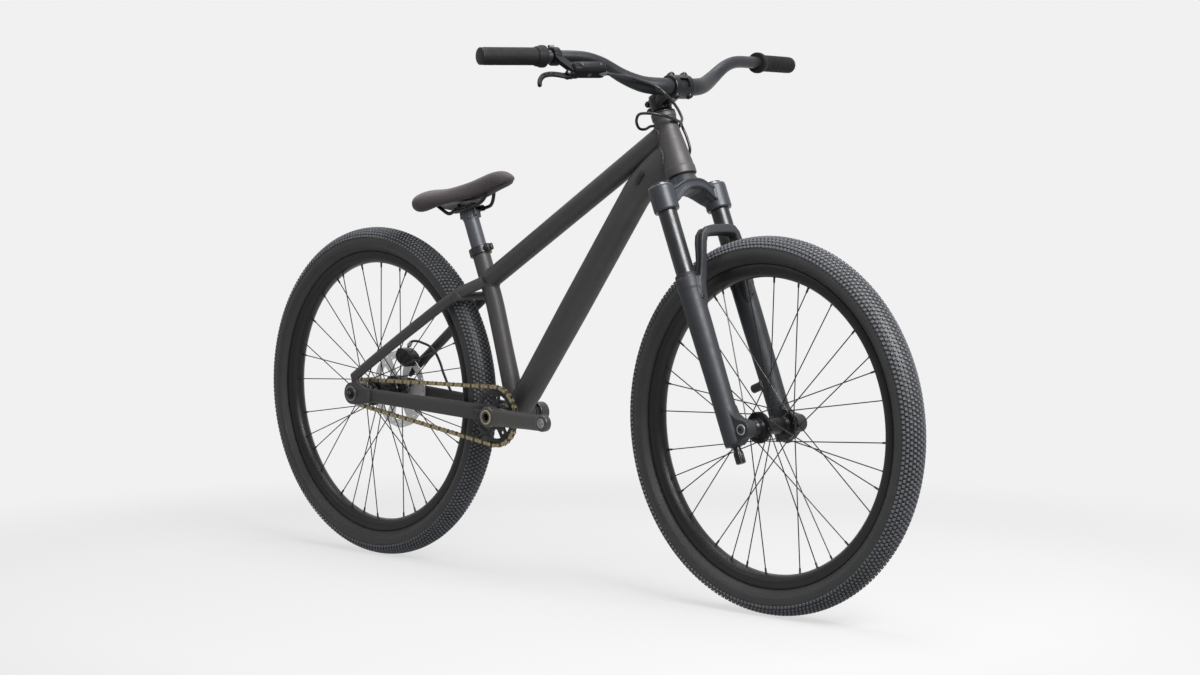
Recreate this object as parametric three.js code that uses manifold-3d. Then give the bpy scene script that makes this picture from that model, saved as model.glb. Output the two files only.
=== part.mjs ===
// A dirt jump bike: hardtail frame, short suspension fork, two 26 inch wheels, single speed drive.
// Lengths are millimetres. +X is forward, +Y is the rider's left, +Z is up, and the origin is on
// the ground midway between the two tyres' contact points.
import * as THREE from 'three';
import { mergeVertices } from 'three/addons/utils/BufferGeometryUtils.js';
import Module from 'manifold-3d';

const wasm = await Module();
wasm.setup();

// Fits
const gap = 0.3;
const overrun = 20;
const sideSign = { right: -1, left: 1 };

// Layout of the bike
const wheelbase = 1063.3;
const tyreRadius = 335.5;
const headAngleDeg = 68.2;
const forkOffset = 36;
const crownOffset = 5;
const bottomBracketDrop = 22.4;

// Chain drive
const chainPitch = 12.7;
const chainLinks = 84;
const ringTeeth = 28;
const cogTeeth = 13;
const chainLineOffset = 50;
const rollerRadius = 3.9;
const plateHalfHeight = 4.1;
const innerPlateInside = 1.65;
const innerPlateOutside = 2.7;
const outerPlateOutside = 3.7;
const toothThickness = 2.2;
const toothHeight = 3.9;
const seatStepDeg = 60;

// Tyres
const tyreWidth = 58;
const flangeDepth = 49.5;
const flangeRadius = tyreRadius - flangeDepth;
const beadDrop = 6.7;
const beadRadius = flangeRadius - beadDrop;
const beadHalfWidth = 11.6;
const flangeGrip = 13.9;
const treadDepth = 2.6;
const tyreSegments = 32;
const sidewallRiseShare = 0.38;
const shoulderRiseShare = 0.78;
const treadRiseShare = 0.96;
const shoulderWidthShare = 0.95;
const treadWidthShare = 0.56;
const crownWidthShare = 0.16;

// Rims
const rimDepth = 23.5;
const rimInnerRadius = flangeRadius - rimDepth;
const rimHalfWidth = 17;
const rimWellDepth = 8.2;
const rimWellRadius = flangeRadius - rimWellDepth;
const rimWellHalfWidth = 12;
const rimFlangeThickness = 2.4;
const rimNoseHalfWidth = 7;
const rimNoseHeight = 6;
const rimShoulderRadius = rimInnerRadius + rimNoseHeight;
const rimSegments = 28;

// Spokes and hubs
const spokesPerSide = 16;
const spokeRadius = 1;
const spokeSides = 3;
const laceStepShare = 2.9;
const rimSpread = 4;
const hubStagger = 1.5;
const rimStagger = 1.2;
const hubSegments = 12;
const frontAxleRadius = 7.5;
const frontHubHalfWidth = 55;
const frontFlangeOffset = 33;
const frontFlangeRadius = 28;
const frontBarrelRadius = 16;
const frontEndCapRadius = 12.5;
const flangeThickness = 5.2;
const flangeRimWidth = 3;
const discSeatOffset = 41;
const discSeatRadius = 22;
const rearAxleRadius = 6;
const rearHubHalfWidth = 71;
const rearRightFlangeOffset = 21;
const rearLeftFlangeOffset = 34;
const rearFlangeRadius = 29;
const rearBarrelRadius = 18;
const rearCoreRadius = 10.5;
const rearShellEnd = 30;
const rearEndCapRadius = 11.5;
const endCapLength = 4;

// Rear driver, cog and rotor
const driverRadius = 16.5;
const driverInside = 32;
const driverOutside = 61;
const rotorRadius = 80;
const rotorTrackWidth = 15;
const rotorThickness = 1.8;
const rotorOffset = 50;
const rotorCarrierRadius = 27;
const rotorWindows = 6;
const rotorWindowStartDeg = 7;
const rotorWindowEndDeg = 44;
const rotorSegments = 36;

// Frame
const headTubeOverTyre = 150.5;
const headTubeLower = tyreRadius + headTubeOverTyre;
const headTubeLength = 122;
const headTubeLowerRadius = 29;
const headTubeUpperRadius = 21.5;
const headTubeLipRadius = 22.8;
const headTubeLowerLip = 16;
const headTubeUpperLip = 9;
const headTubeTaperShare = 0.7;
const headTubeBore = 16.6;
const lowerBearingRadius = 23.4;
const lowerBearingHeight = 12;
const upperBearingRadius = 18.9;
const upperBearingHeight = 8;
const topTubeRadius = 21;
const topTubeEndRadius = 19;
const topTubeHeadDrop = 34;
const topTubeSeatDrop = 69;
const downTubeRadius = 26.5;
const downTubeFootRadius = 24.5;
const downTubeHeadHeight = 34;
const downTubeHeadWidth = 24.5;
const downTubeAngleDeg = 52.4;
const downTubeSetForward = 4.7;
const downTubeHeadDrop = 80;
const downTubeBendStart = 530;
const downTubeBendAim = 580;
const seatTubeSetForward = 9;
const seatTubeLowerAngleDeg = 73.8;
const seatTubeUpperAngleDeg = 67.7;
const seatTubeBendRise = 217;
const seatTubeBendHalf = 25;
const seatTubeTopLength = 112;
const seatTubeRadius = 17.6;
const seatTubeFootRadius = 19.5;
const seatBoreDepth = 114;
const shellRadius = 23.5;
const shellHalfWidth = 36.5;
const shellBore = 18.5;
const stayFrontWidth = 7.2;
const stayRearWidth = 5.5;
const stayFrontHeight = 17;
const stayRearHeight = 13.3;
const stayAlongShares = [0.04, 0.19, 0.45, 0.845, 0.955];
const stayAsideShares = [0.3, 0.53, 0.68, 0.9, 0.965];
const stayAside = 71.6;
const seatStayTopHeight = 11.5;
const seatStayTopWidth = 8.5;
const seatStayEndHeight = 9.5;
const seatStayEndWidth = 6.6;
const seatStayForwardShares = [-0.01, 0.115, 0.394, 0.691, 0.838];
const seatStayAsideShares = [0.21, 0.53, 0.753, 0.938, 0.985];
const seatStayUpShares = [1, 0.893, 0.61, 0.292, 0.138];
const bridgeRadius = 9;
const bridgeBackShare = 0.13;
const bridgeUpShare = 0.87;
const dropoutThickness = 7;
const dropoutRadius = 22;
const dropoutReach = 52;
const dropoutNeck = 14;
const dropoutRise = 37;
const dropoutSlotLength = 9;
const dropoutTabWidth = 15;
const cupFlangeRadius = 22;
const cupFlangeThickness = 5.5;
const cupDepth = 20;
const clampRadius = 22;
const clampHeight = 15;
const clampEarReach = 11;
const clampEarHalfWidth = 8;
const clampSlit = 1.5;

// Cranks
const crankLength = 165;
const spindleRadius = 12;
const spindleBore = 8.5;
const armBossRadius = 20;
const armEndRadius = 14.5;
const armWaist = 11.5;
const armBossInside = 53.5;
const armBossOutside = 76;
const armEndInside = 74.5;
const armEndOutside = 88;
const armKneeShare = 0.22;
const pedalBore = 7.1;
const ringWindows = 5;
const ringWindowInner = 24;
const ringWindowOuter = 43;
const ringWindowSpreadDeg = 40;
const ringMountRadius = 17.5;

// Fork
const steererRadius = 14.3;
const steererFootRadius = 19.5;
const steererBore = 11.5;
const steererBelow = 29;
const steererAbove = 33;
const steererFoot = headTubeLower - steererBelow;
const steererTop = headTubeLower + headTubeLength + steererAbove;
const stanchionRadius = 17;
const stanchionTrack = 69;
const stanchionBottom = 160;
const crownDrop = 20;
const crownHeight = 47;
const crownTop = headTubeLower - crownDrop;
const crownBottom = crownTop - crownHeight;
const crownLegRadius = 23.5;
const crownRaceRadius = 27.5;
const crownRaceHeight = 14;
const crownDepth = 27;
const crownLegDepth = 19;
const crownArchDrop = 12;
const crownWebRise = 8;
const crownArchTop = crownTop - crownArchDrop;
const crownWebTop = crownTop + crownWebRise;
const capRadius = 16.5;
const capHeight = 5;
const capInset = 3;
const forkTravel = 100;
const legOverTyre = -44.5;
const legTop = tyreRadius + legOverTyre;
const legBottom = -20;
const legRadius = 21.5;
const legLowRadius = 19.6;
const legBoreBottom = 52;
const archOverTyre = 35.5;
const archTop = tyreRadius + archOverTyre;
const archForward = 48;
const archHalfWidth = 42;
const archHeight = 105;
const archRoot = archTop - archHeight;
const archThickness = 6.5;
const archBreadth = 10.5;
const lowersInside = 55.3;
const lowersOutside = 70;
const axleBossRadius = 16;
const footDepth = 24;
const axleHeadRadius = 11;
const axleHeadThickness = 3.5;
const postSpacing = 74.2;
const postUpper = 86;
const postReach = 33;
const postRadius = 8;
const postHoleRadius = 2.6;
const postHoleDepth = 14;
const knobTop = -23.3;
const knobLength = 30;
const knobRadius = 7.5;
const knobFlutes = 9;
const knobFluteDepth = 1;

// Stem, bar, grips
const spacerHeight = 6;
const spacerRadius = 17.5;
const headCoverHeight = 7;
const stemClampLower = headTubeLower + headTubeLength + headCoverHeight;
const stemClampRadius = 19.5;
const stemReach = 52;
const stemClampHalf = 13;
const stemClampCentre = stemClampLower + stemClampHalf;
const barClampRise = 12;
const barRadius = 15.9;
const barEndRadius = 11.1;
const barClampHalf = 33;
const barHalfWidth = 400;
const stemHalfWidth = 24;
const faceplateThickness = 6;
const topCapHeight = 5;
const topCapChamfer = 1.5;
const stemNeckInset = 1;
const barTension = 0.4;
const barBackShares = [0, 0.155, 0.265, 0.25, 0.3, 1];
const barUpShares = [0, 0.1, 0.35, 0.64, 0.81, 1];
const barOutShares = [0.1, 0.2, 0.3, 0.4, 0.5, 1];
const barPlaceShares = [1 / 6, 1 / 4, 1 / 3, 5 / 12, 1 / 2, 7 / 12, 2 / 3, 3 / 4, 5 / 6, 1];
const barBack = 60.4;
const barUp = 77.3;
const gripLength = 131;
const gripRadius = 15.6;
const gripFlangeRadius = 20;
const gripFlangeWidth = 8;
const gripOverhang = 5;
const gripLip = 2;

// Brake lever, in its own frame: out along the bar, away from the bar, and square to both
const leverInset = 142;
const leverStation = barHalfWidth - leverInset;
const leverDropDeg = 48;
const leverBandRadius = 16.5;
const leverBandHalfWidth = 7;
const leverBodyAway = 32;
const leverBodyOver = 7;
const leverBodyTilt = 13;
const leverBodyInner = -76;
const leverBodyOuter = -14;
const leverBodyRadius = 12.5;
const leverPivotOut = -10;
const leverPivotAway = 43;
const leverPivotRadius = 6;
const bladeThickness = 6;
const bladeLengthOut = 76;
const bladeLengthAway = 22;
const bladeWidth = 5.5;
const bladeHook = 8;
const leverLugThickness = 4;
const hoseNutRadius = 4.5;
const hoseNutLength = 8;

// Saddle and post
const postTubeRadius = 15.45;
const postInsertion = 68;
const postExposed = 66;
const saddlePitchDeg = 10;
const railDrop = 14;
const clampAlong = -18.6;
const railRadius = 3.5;
const railSpread = 22;
const railSides = 6;
const saddleNose = 117;
const saddleTail = 143;
const saddleHalfWidth = 68;
const saddleNoseHalfWidth = 19;
const saddleTop = 45;
const padRings = 15;
const padSides = 16;
const shellThickness = 4;
const cradleLength = 34;
const cradleHeight = 8;
const cradleHalfWidth = 29;
const headBlockHeight = 15;
const headBlockLength = 27;
const headBlockHalfWidth = 17;

// Caliper and hoses
const caliperAngleDeg = 67;
const caliperRadius = 72;
const caliperHalfLength = 25;
const caliperHalfHeight = 15;
const caliperInside = 36;
const caliperOutside = 62;
const caliperSlot = 7;
const padThickness = 2.2;
const padLength = 22;
const padHeight = 12;
const padTravel = 0.6;
const hoseRadius = 2.6;
const hoseSides = 8;
const hoseStepDiameters = 3;

// Materials
const paint = (color, roughness, metalness) =>
  new THREE.MeshStandardMaterial({ color, roughness, metalness });
const look = {
  frame: () => paint(0x4a4746, 0.45, 0.35),
  slate: () => paint(0x474c55, 0.4, 0.3),
  black: () => paint(0x17181a, 0.5, 0.3),
  gloss: () => paint(0x101113, 0.15, 0.7),
  rubber: () => paint(0x1b1b1c, 0.9, 0),
  steel: () => paint(0xa9abad, 0.3, 0.9),
  brass: () => paint(0xa08a5c, 0.35, 0.9),
  fabric: () => paint(0x3d393a, 0.95, 0),
  crank: () => paint(0x2c2d30, 0.4, 0.6),
  hose: () => paint(0x141416, 0.6, 0),
};

// Vectors and frames
const vec = (x, y, z) => new THREE.Vector3(x, y, z);
const along = (start, direction, distance) => start.clone().addScaledVector(direction, distance);
const rad = THREE.MathUtils.degToRad;
const xAxis = vec(1, 0, 0);
const yAxis = vec(0, 1, 0);
const zAxis = vec(0, 0, 1);

// A matrix whose Z is zDirection and whose X is as near as it can be to xHint
function frameAt(origin, zDirection, xHint) {
  const z = zDirection.clone().normalize();
  const y = z.clone().cross(xHint).normalize();
  const x = y.clone().cross(z);
  return new THREE.Matrix4().makeBasis(x, y, z).setPosition(origin);
}

const rearAxle = vec(-wheelbase / 2, 0, tyreRadius);
const frontAxle = vec(wheelbase / 2, 0, tyreRadius);
const steerUp = vec(-Math.cos(rad(headAngleDeg)), 0, Math.sin(rad(headAngleDeg)));
const steerForward = vec(Math.sin(rad(headAngleDeg)), 0, Math.cos(rad(headAngleDeg)));
const steerOrigin = along(frontAxle, steerForward, -forkOffset);
const steerFrame = frameAt(steerOrigin, steerUp, steerForward);
const steerPoint = (forward, side, up) => vec(forward, side, up).applyMatrix4(steerFrame);

// Solids
function wound(positions, indices) {
  let volume = 0;
  const corner = (i) => vec(positions[3 * i], positions[3 * i + 1], positions[3 * i + 2]);
  for (let t = 0; t < indices.length; t += 3) {
    const [a, b, c] = [corner(indices[t]), corner(indices[t + 1]), corner(indices[t + 2])];
    volume += a.dot(b.cross(c));
  }
  if (volume >= 0) return indices;
  const flipped = [];
  for (let t = 0; t < indices.length; t += 3) {
    flipped.push(indices[t], indices[t + 2], indices[t + 1]);
  }
  return flipped;
}

function toSolid(geometry) {
  const bare = new THREE.BufferGeometry();
  bare.setAttribute('position', geometry.attributes.position.clone());
  if (geometry.index) bare.setIndex(geometry.index.clone());
  const merged = mergeVertices(bare, weldDistance);
  const corners = Array.from(merged.attributes.position.array);
  const faces = [];
  const index = merged.index.array;
  for (let t = 0; t < index.length; t += 3) {
    const [a, b, c] = [index[t], index[t + 1], index[t + 2]];
    if (a !== b && b !== c && a !== c) faces.push(a, b, c);
  }
  return new wasm.Manifold(new wasm.Mesh({
    numProp: 3,
    vertProperties: new Float32Array(corners),
    triVerts: new Uint32Array(wound(corners, faces)),
  }));
}
const weldDistance = 0.0001;

function toGeometry(solid) {
  const mesh = solid.getMesh();
  const geometry = new THREE.BufferGeometry();
  geometry.setAttribute('position', new THREE.BufferAttribute(mesh.vertProperties, mesh.numProp));
  geometry.setIndex(new THREE.BufferAttribute(mesh.triVerts, 1));
  geometry.computeVertexNormals();
  return geometry;
}

const join = (first, ...others) => others.reduce((sum, other) => sum.add(other), first);
const cut = (first, ...others) => others.reduce((rest, other) => rest.subtract(other), first);

// A closed profile of [radius, height] pairs turned about the Z axis of the frame
function turned(profile, frame, segments) {
  const points = profile.map(([radius, height]) => new THREE.Vector2(radius, height));
  const closed = points.every((point) => point.x > 0);
  if (closed) points.push(points[0].clone());
  const geometry = new THREE.LatheGeometry(points, segments);
  geometry.rotateX(Math.PI / 2).applyMatrix4(frame);
  return toSolid(geometry);
}

// A solid of revolution from the axis out, given the radii at rising heights
const rod = (stations, frame, segments) => {
  const ends = [[0, stations[0][1]], ...stations, [0, stations[stations.length - 1][1]]];
  return turned(ends, frame, segments);
};

const cylinder = (radius, from, to, frame, segments) =>
  rod([[radius, from], [radius, to]], frame, segments);

// The radius of a bore whose flats clear a shaft of the given radius at any turn
const boreFor = (radius, segments) => (radius + gap) / Math.cos(Math.PI / segments);

// The radius of a bore round a shaft of as many sides that lies in it side to side
const snugBore = (radius, segments) => radius + gap / Math.cos(Math.PI / segments);

const outlineOf = (points) => new THREE.Shape(points.map(([x, y]) => new THREE.Vector2(x, y)));

// An outline in the frame's XY plane, extruded along its Z between two heights
function prism(points, from, to, frame, holes = []) {
  const shape = outlineOf(points);
  for (const hole of holes) {
    shape.holes.push(new THREE.Path(hole.map(([x, y]) => new THREE.Vector2(x, y))));
  }
  const geometry = new THREE.ExtrudeGeometry(shape, { depth: to - from, bevelEnabled: false });
  geometry.translate(0, 0, from).applyMatrix4(frame);
  return toSolid(geometry);
}

const block = (xFrom, xTo, yFrom, yTo, zFrom, zTo, frame) =>
  prism([[xFrom, yFrom], [xTo, yFrom], [xTo, yTo], [xFrom, yTo]], zFrom, zTo, frame);

// Points of an arc about a centre, from one angle to another
function arc(centreX, centreY, radius, fromDeg, toDeg, steps) {
  const points = [];
  for (let i = 0; i <= steps; i += 1) {
    const angle = rad(fromDeg + (toDeg - fromDeg) * (i / steps));
    points.push([centreX + radius * Math.cos(angle), centreY + radius * Math.sin(angle)]);
  }
  return points;
}

function skin(points, indices) {
  const geometry = new THREE.BufferGeometry();
  const flat = points.flatMap((point) => point.toArray());
  geometry.setAttribute('position', new THREE.Float32BufferAttribute(flat, 3));
  geometry.setIndex(indices);
  return toSolid(geometry);
}

// A closed skin through equal rings of points, capped at both ends or closed on itself
function loft(rings, endless = false) {
  const sides = rings[0].length;
  const indices = [];
  const last = endless ? rings.length : rings.length - 1;
  for (let i = 0; i < last; i += 1) {
    const here = i * sides;
    const next = ((i + 1) % rings.length) * sides;
    for (let j = 0; j < sides; j += 1) {
      const k = (j + 1) % sides;
      indices.push(here + j, next + j, next + k, here + j, next + k, here + k);
    }
  }
  if (!endless) {
    const end = (rings.length - 1) * sides;
    for (let j = 1; j < sides - 1; j += 1) {
      indices.push(0, j, j + 1, end, end + j + 1, end + j);
    }
  }
  return skin(rings.flat(), indices);
}

// Rounded sections swept through stations of { at, wide, tall }, wide along the given side
function swept(stations, side, sides, squareness = 2, turnDeg = 0) {
  const rings = stations.map((station, i) => {
    const before = stations[Math.max(i - 1, 0)].at;
    const after = stations[Math.min(i + 1, stations.length - 1)].at;
    const ahead = after.clone().sub(before).normalize();
    const up = ahead.clone().cross(side).normalize();
    const across = up.clone().cross(ahead);
    return Array.from({ length: sides }, (_, j) => {
      const angle = (2 * Math.PI * (j + 1 / 2)) / sides + rad(turnDeg);
      const [c, s] = [Math.cos(angle), Math.sin(angle)];
      const power = 2 / squareness;
      return along(station.at, across, station.wide * Math.sign(c) * Math.abs(c) ** power)
        .addScaledVector(up, station.tall * Math.sign(s) * Math.abs(s) ** power);
    });
  });
  return loft(rings);
}

const piece = (name, solid, material) => {
  const mesh = new THREE.Mesh(toGeometry(solid), material);
  mesh.name = name;
  return mesh;
};

// The distance at which the chain closes on its two wheels with its links in whole number
function pitchRadius(teeth) {
  return chainPitch / (2 * Math.sin(Math.PI / teeth));
}

function chainLoop(distance) {
  const ring = pitchRadius(ringTeeth);
  const cog = pitchRadius(cogTeeth);
  const lean = Math.asin((ring - cog) / distance);
  const run = distance * Math.cos(lean);
  const ringArc = ring * (Math.PI + 2 * lean);
  const cogArc = cog * (Math.PI - 2 * lean);
  const length = ringArc + cogArc + 2 * run;
  const pointAt = (travelled) => {
    const s = ((travelled % length) + length) % length;
    if (s < ringArc) {
      const angle = -Math.PI / 2 - lean + s / ring;
      return [ring * Math.cos(angle), ring * Math.sin(angle)];
    }
    const tangent = [-Math.cos(lean), -Math.sin(lean)];
    if (s < ringArc + run) {
      const start = Math.PI / 2 + lean;
      const t = s - ringArc;
      return [ring * Math.cos(start) + tangent[0] * t, ring * Math.sin(start) + tangent[1] * t];
    }
    if (s < ringArc + run + cogArc) {
      const angle = Math.PI / 2 + lean + (s - ringArc - run) / cog;
      return [-distance + cog * Math.cos(angle), cog * Math.sin(angle)];
    }
    const start = -Math.PI / 2 - lean;
    const t = s - ringArc - run - cogArc;
    return [-distance + cog * Math.cos(start) - tangent[0] * t,
      cog * Math.sin(start) + tangent[1] * t];
  };
  return { pointAt, length, ringArc, run, lean };
}

// Pins one pitch apart along the loop, and how far the last one passes the first
function walkChain(distance) {
  const loop = chainLoop(distance);
  let travelled = loop.ringArc / 2;
  const start = travelled;
  const pins = [loop.pointAt(travelled)];
  for (let i = 0; i < chainLinks; i += 1) {
    let low = travelled + chainPitch / 2;
    let high = travelled + 2 * chainPitch;
    for (let k = 0; k < bisections; k += 1) {
      const middle = (low + high) / 2;
      const [x, y] = loop.pointAt(middle);
      const [px, py] = pins[pins.length - 1];
      if (Math.hypot(x - px, y - py) < chainPitch) low = middle;
      else high = middle;
    }
    travelled = low;
    pins.push(loop.pointAt(travelled));
  }
  return { pins: pins.slice(0, chainLinks), excess: travelled - start - loop.length };
}
const bisections = 40;

function closedChain() {
  const guess = (chainPitch * (chainLinks - (ringTeeth + cogTeeth) / 2)) / 2;
  let low = guess - chainPitch;
  let high = guess + chainPitch;
  for (let k = 0; k < bisections; k += 1) {
    const middle = (low + high) / 2;
    if (walkChain(middle).excess > 0) low = middle;
    else high = middle;
  }
  return { distance: low, pins: walkChain(low).pins };
}

const chainFit = closedChain();
const stayRun = Math.sqrt(chainFit.distance ** 2 - bottomBracketDrop ** 2);
const bottomBracket = vec(rearAxle.x + stayRun, 0, tyreRadius - bottomBracketDrop);
const towardRear = rearAxle.clone().sub(bottomBracket).normalize();
const chainX = towardRear.clone().negate();
const chainZ = chainX.clone().cross(yAxis).negate();
const drivePoint = ([x, y], side) =>
  along(bottomBracket, chainX, x).addScaledVector(chainZ, y).addScaledVector(yAxis, side);
const crankFrame = frameAt(bottomBracket, yAxis, chainX);
const cogFrame = frameAt(rearAxle, yAxis, chainX);
const rearFrame = frameAt(rearAxle, yAxis, xAxis);
const frontFrame = frameAt(frontAxle, yAxis, xAxis);

// Wheels
function tyreSection(raised) {
  const rise = tyreRadius - flangeRadius;
  const half = tyreWidth / 2;
  const sunk = (lifted) => (lifted ? 0 : treadDepth);
  const upper = [
    [flangeRadius + rise * sidewallRiseShare, half],
    [flangeRadius + rise * shoulderRiseShare, half * shoulderWidthShare],
    [flangeRadius + rise * treadRiseShare - sunk(!raised), half * treadWidthShare],
    [tyreRadius - sunk(raised), half * crownWidthShare],
  ];
  const beads = [[beadRadius, beadHalfWidth], [boreFor(flangeRadius, tyreSegments), flangeGrip]];
  const left = [...beads, ...upper];
  const right = left.map(([radius, side]) => [radius, -side]).reverse();
  return [...left, ...right];
}

function tyre(frame) {
  const rings = Array.from({ length: tyreSegments }, (_, i) => {
    const angle = (2 * Math.PI * i) / tyreSegments;
    return tyreSection(i % 2 === 0).map(([radius, side]) =>
      vec(radius * Math.cos(angle), radius * Math.sin(angle), side).applyMatrix4(frame));
  });
  return loft(rings, true);
}

function rim(frame) {
  const flangeInside = rimHalfWidth - rimFlangeThickness;
  const half = [
    [rimInnerRadius, rimNoseHalfWidth],
    [rimShoulderRadius, rimHalfWidth],
    [flangeRadius, rimHalfWidth],
    [flangeRadius, flangeInside],
    [rimWellRadius, rimWellHalfWidth],
  ];
  const other = half.map(([radius, side]) => [radius, -side]).reverse();
  return turned([...half, ...other], frame, rimSegments);
}

function spoke(hubRadius, hubSide, hubAngle, rimAngle, rimSide, frame) {
  const from = vec(hubRadius * Math.cos(hubAngle), hubRadius * Math.sin(hubAngle), hubSide);
  const reach = rimInnerRadius * Math.cos(Math.PI / rimSegments) - gap;
  const to = vec(reach * Math.cos(rimAngle), reach * Math.sin(rimAngle), rimSide);
  const direction = to.clone().sub(from);
  const own = frameAt(from, direction, zAxis).premultiply(frame);
  const section = arc(0, 0, spokeRadius, 0, 360 - 360 / spokeSides, spokeSides - 1);
  return prism(section, 0, direction.length(), own);
}

function spokes(rightOffset, leftOffset, flangeRadiusHere, frame) {
  const list = [];
  const step = (2 * Math.PI) / spokesPerSide;
  const holeRadius = flangeRadiusHere - flangeRimWidth;
  for (const [sign, offset] of [[-1, rightOffset], [1, leftOffset]]) {
    for (let i = 0; i < spokesPerSide; i += 1) {
      const lead = i % 2 === 0 ? 1 : -1;
      const pairStart = sign > 0 ? step / 2 : 0;
      const hubAngle = i * step + pairStart;
      const rimAngle = hubAngle + lead * laceStepShare * step;
      const face = sign * (offset + lead * hubStagger);
      const rimSide = sign * (rimSpread + lead * rimStagger);
      list.push(spoke(holeRadius, face, hubAngle, rimAngle, rimSide, frame));
    }
  }
  return list;
}

function frontHub() {
  const half = frontHubHalfWidth - gap;
  const f = frontFlangeOffset;
  const t = flangeThickness / 2;
  const stations = [
    [frontEndCapRadius, -half],
    [frontEndCapRadius, endCapLength - half],
    [frontBarrelRadius, -f - t],
    [frontFlangeRadius, -f - t],
    [frontFlangeRadius, t - f],
    [frontBarrelRadius, t - f],
    [frontBarrelRadius, f - t],
    [frontFlangeRadius, f - t],
    [frontFlangeRadius, f + t],
    [discSeatRadius, f + t],
    [discSeatRadius, discSeatOffset],
    [frontEndCapRadius, discSeatOffset],
    [frontEndCapRadius, half],
  ];
  const laced = join(rod(stations, frontFrame, hubSegments),
    ...spokes(f, f, frontFlangeRadius, frontFrame));
  const bore = boreFor(frontAxleRadius, hubSegments);
  return cut(laced, cylinder(bore, -half - overrun, half + overrun, frontFrame, hubSegments));
}

function rearHub() {
  const half = rearHubHalfWidth - gap;
  const [r, l] = [rearRightFlangeOffset, rearLeftFlangeOffset];
  const t = flangeThickness / 2;
  const stations = [
    [rearCoreRadius, -half],
    [rearCoreRadius, -rearShellEnd],
    [rearBarrelRadius, -rearShellEnd],
    [rearBarrelRadius, -r - t],
    [rearFlangeRadius, -r - t],
    [rearFlangeRadius, t - r],
    [rearBarrelRadius, t - r],
    [rearBarrelRadius, l - t],
    [rearFlangeRadius, l - t],
    [rearFlangeRadius, l + t],
    [discSeatRadius, l + t],
    [discSeatRadius, rotorOffset - gap],
    [rearEndCapRadius, rotorOffset - gap],
    [rearEndCapRadius, half],
  ];
  const laced = join(rod(stations, rearFrame, hubSegments),
    ...spokes(r, l, rearFlangeRadius, rearFrame));
  const bore = boreFor(rearAxleRadius, hubSegments);
  return cut(laced, cylinder(bore, -half - overrun, half + overrun, rearFrame, hubSegments));
}

function rotor() {
  const inner = boreFor(rearEndCapRadius, hubSegments);
  const windowInner = rotorCarrierRadius;
  const windowOuter = rotorRadius - rotorTrackWidth;
  const step = 360 / rotorWindows;
  const holes = Array.from({ length: rotorWindows }, (_, i) => [
    ...arc(0, 0, windowOuter, i * step + rotorWindowStartDeg, i * step + rotorWindowEndDeg, 4),
    ...arc(0, 0, windowInner, i * step + rotorWindowEndDeg, i * step + rotorWindowStartDeg, 2),
  ]);
  holes.push(arc(0, 0, inner, 0, 360 - 360 / hubSegments, hubSegments - 1));
  const rimPoints = arc(0, 0, rotorRadius, 0, 360 - 360 / rotorSegments, rotorSegments - 1);
  return prism(rimPoints, rotorOffset, rotorOffset + rotorThickness, rearFrame, holes);
}

// Toothed wheels
function toothedOutline(teeth, phase) {
  const pitch = pitchRadius(teeth);
  const seat = (rollerRadius + gap) / Math.cos(rad(seatStepDeg / 2));
  const step = 360 / teeth;
  const points = [];
  for (let i = 0; i < teeth; i += 1) {
    const middle = phase + i * step;
    const [cx, cy] = [pitch * Math.cos(rad(middle)), pitch * Math.sin(rad(middle))];
    points.push(...arc(cx, cy, seat, middle + 180 + seatStepDeg,
      middle + 180 - seatStepDeg, 2));
    const tip = pitch + toothHeight;
    const angle = rad(middle + step / 2);
    points.push([tip * Math.cos(angle), tip * Math.sin(angle)]);
  }
  return points;
}

const pinPhase = ([x, y], centreX) => THREE.MathUtils.radToDeg(Math.atan2(y, x - centreX));

// The chain wheel's plane has Z to the left, X from the rear axle forward and Y down
const mirrored = (points) => points.map(([x, y]) => [x, -y]);

function chainring() {
  const outline = mirrored(toothedOutline(ringTeeth, pinPhase(chainFit.pins[0], 0)));
  const step = 360 / ringWindows;
  const spread = ringWindowSpreadDeg;
  const holes = Array.from({ length: ringWindows }, (_, i) => [
    ...arc(0, 0, ringWindowOuter, i * step - spread / 2, i * step + spread / 2, 4),
    ...arc(0, 0, ringWindowInner, i * step + spread / 3, i * step - spread / 3, 2),
  ]);
  const bore = boreFor(ringMountRadius, hubSegments);
  holes.push(arc(0, 0, bore, 0, 360 - 360 / hubSegments, hubSegments - 1));
  const half = toothThickness / 2;
  return prism(outline, -chainLineOffset - half, half - chainLineOffset, crankFrame, holes);
}

function firstCogPin() {
  const reach = pitchRadius(cogTeeth) + chainPitch / 4;
  const onCog = ([x, y]) => Math.hypot(x + chainFit.distance, y) < reach;
  const held = chainFit.pins.filter(onCog);
  return held[Math.floor(held.length / 2)];
}

function cog() {
  const phase = pinPhase(firstCogPin(), -chainFit.distance);
  const outline = mirrored(toothedOutline(cogTeeth, phase));
  const half = toothThickness / 2;
  const bore = boreFor(rearCoreRadius, hubSegments);
  const hole = arc(0, 0, bore, 0, 360 - 360 / hubSegments, hubSegments - 1);
  const plate = prism(outline, -chainLineOffset - half, half - chainLineOffset, cogFrame, [hole]);
  const driver = turned([
    [bore, -driverOutside],
    [driverRadius, -driverOutside],
    [driverRadius, -driverInside],
    [bore, -driverInside],
  ], cogFrame, hubSegments);
  return join(plate, driver);
}

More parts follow.
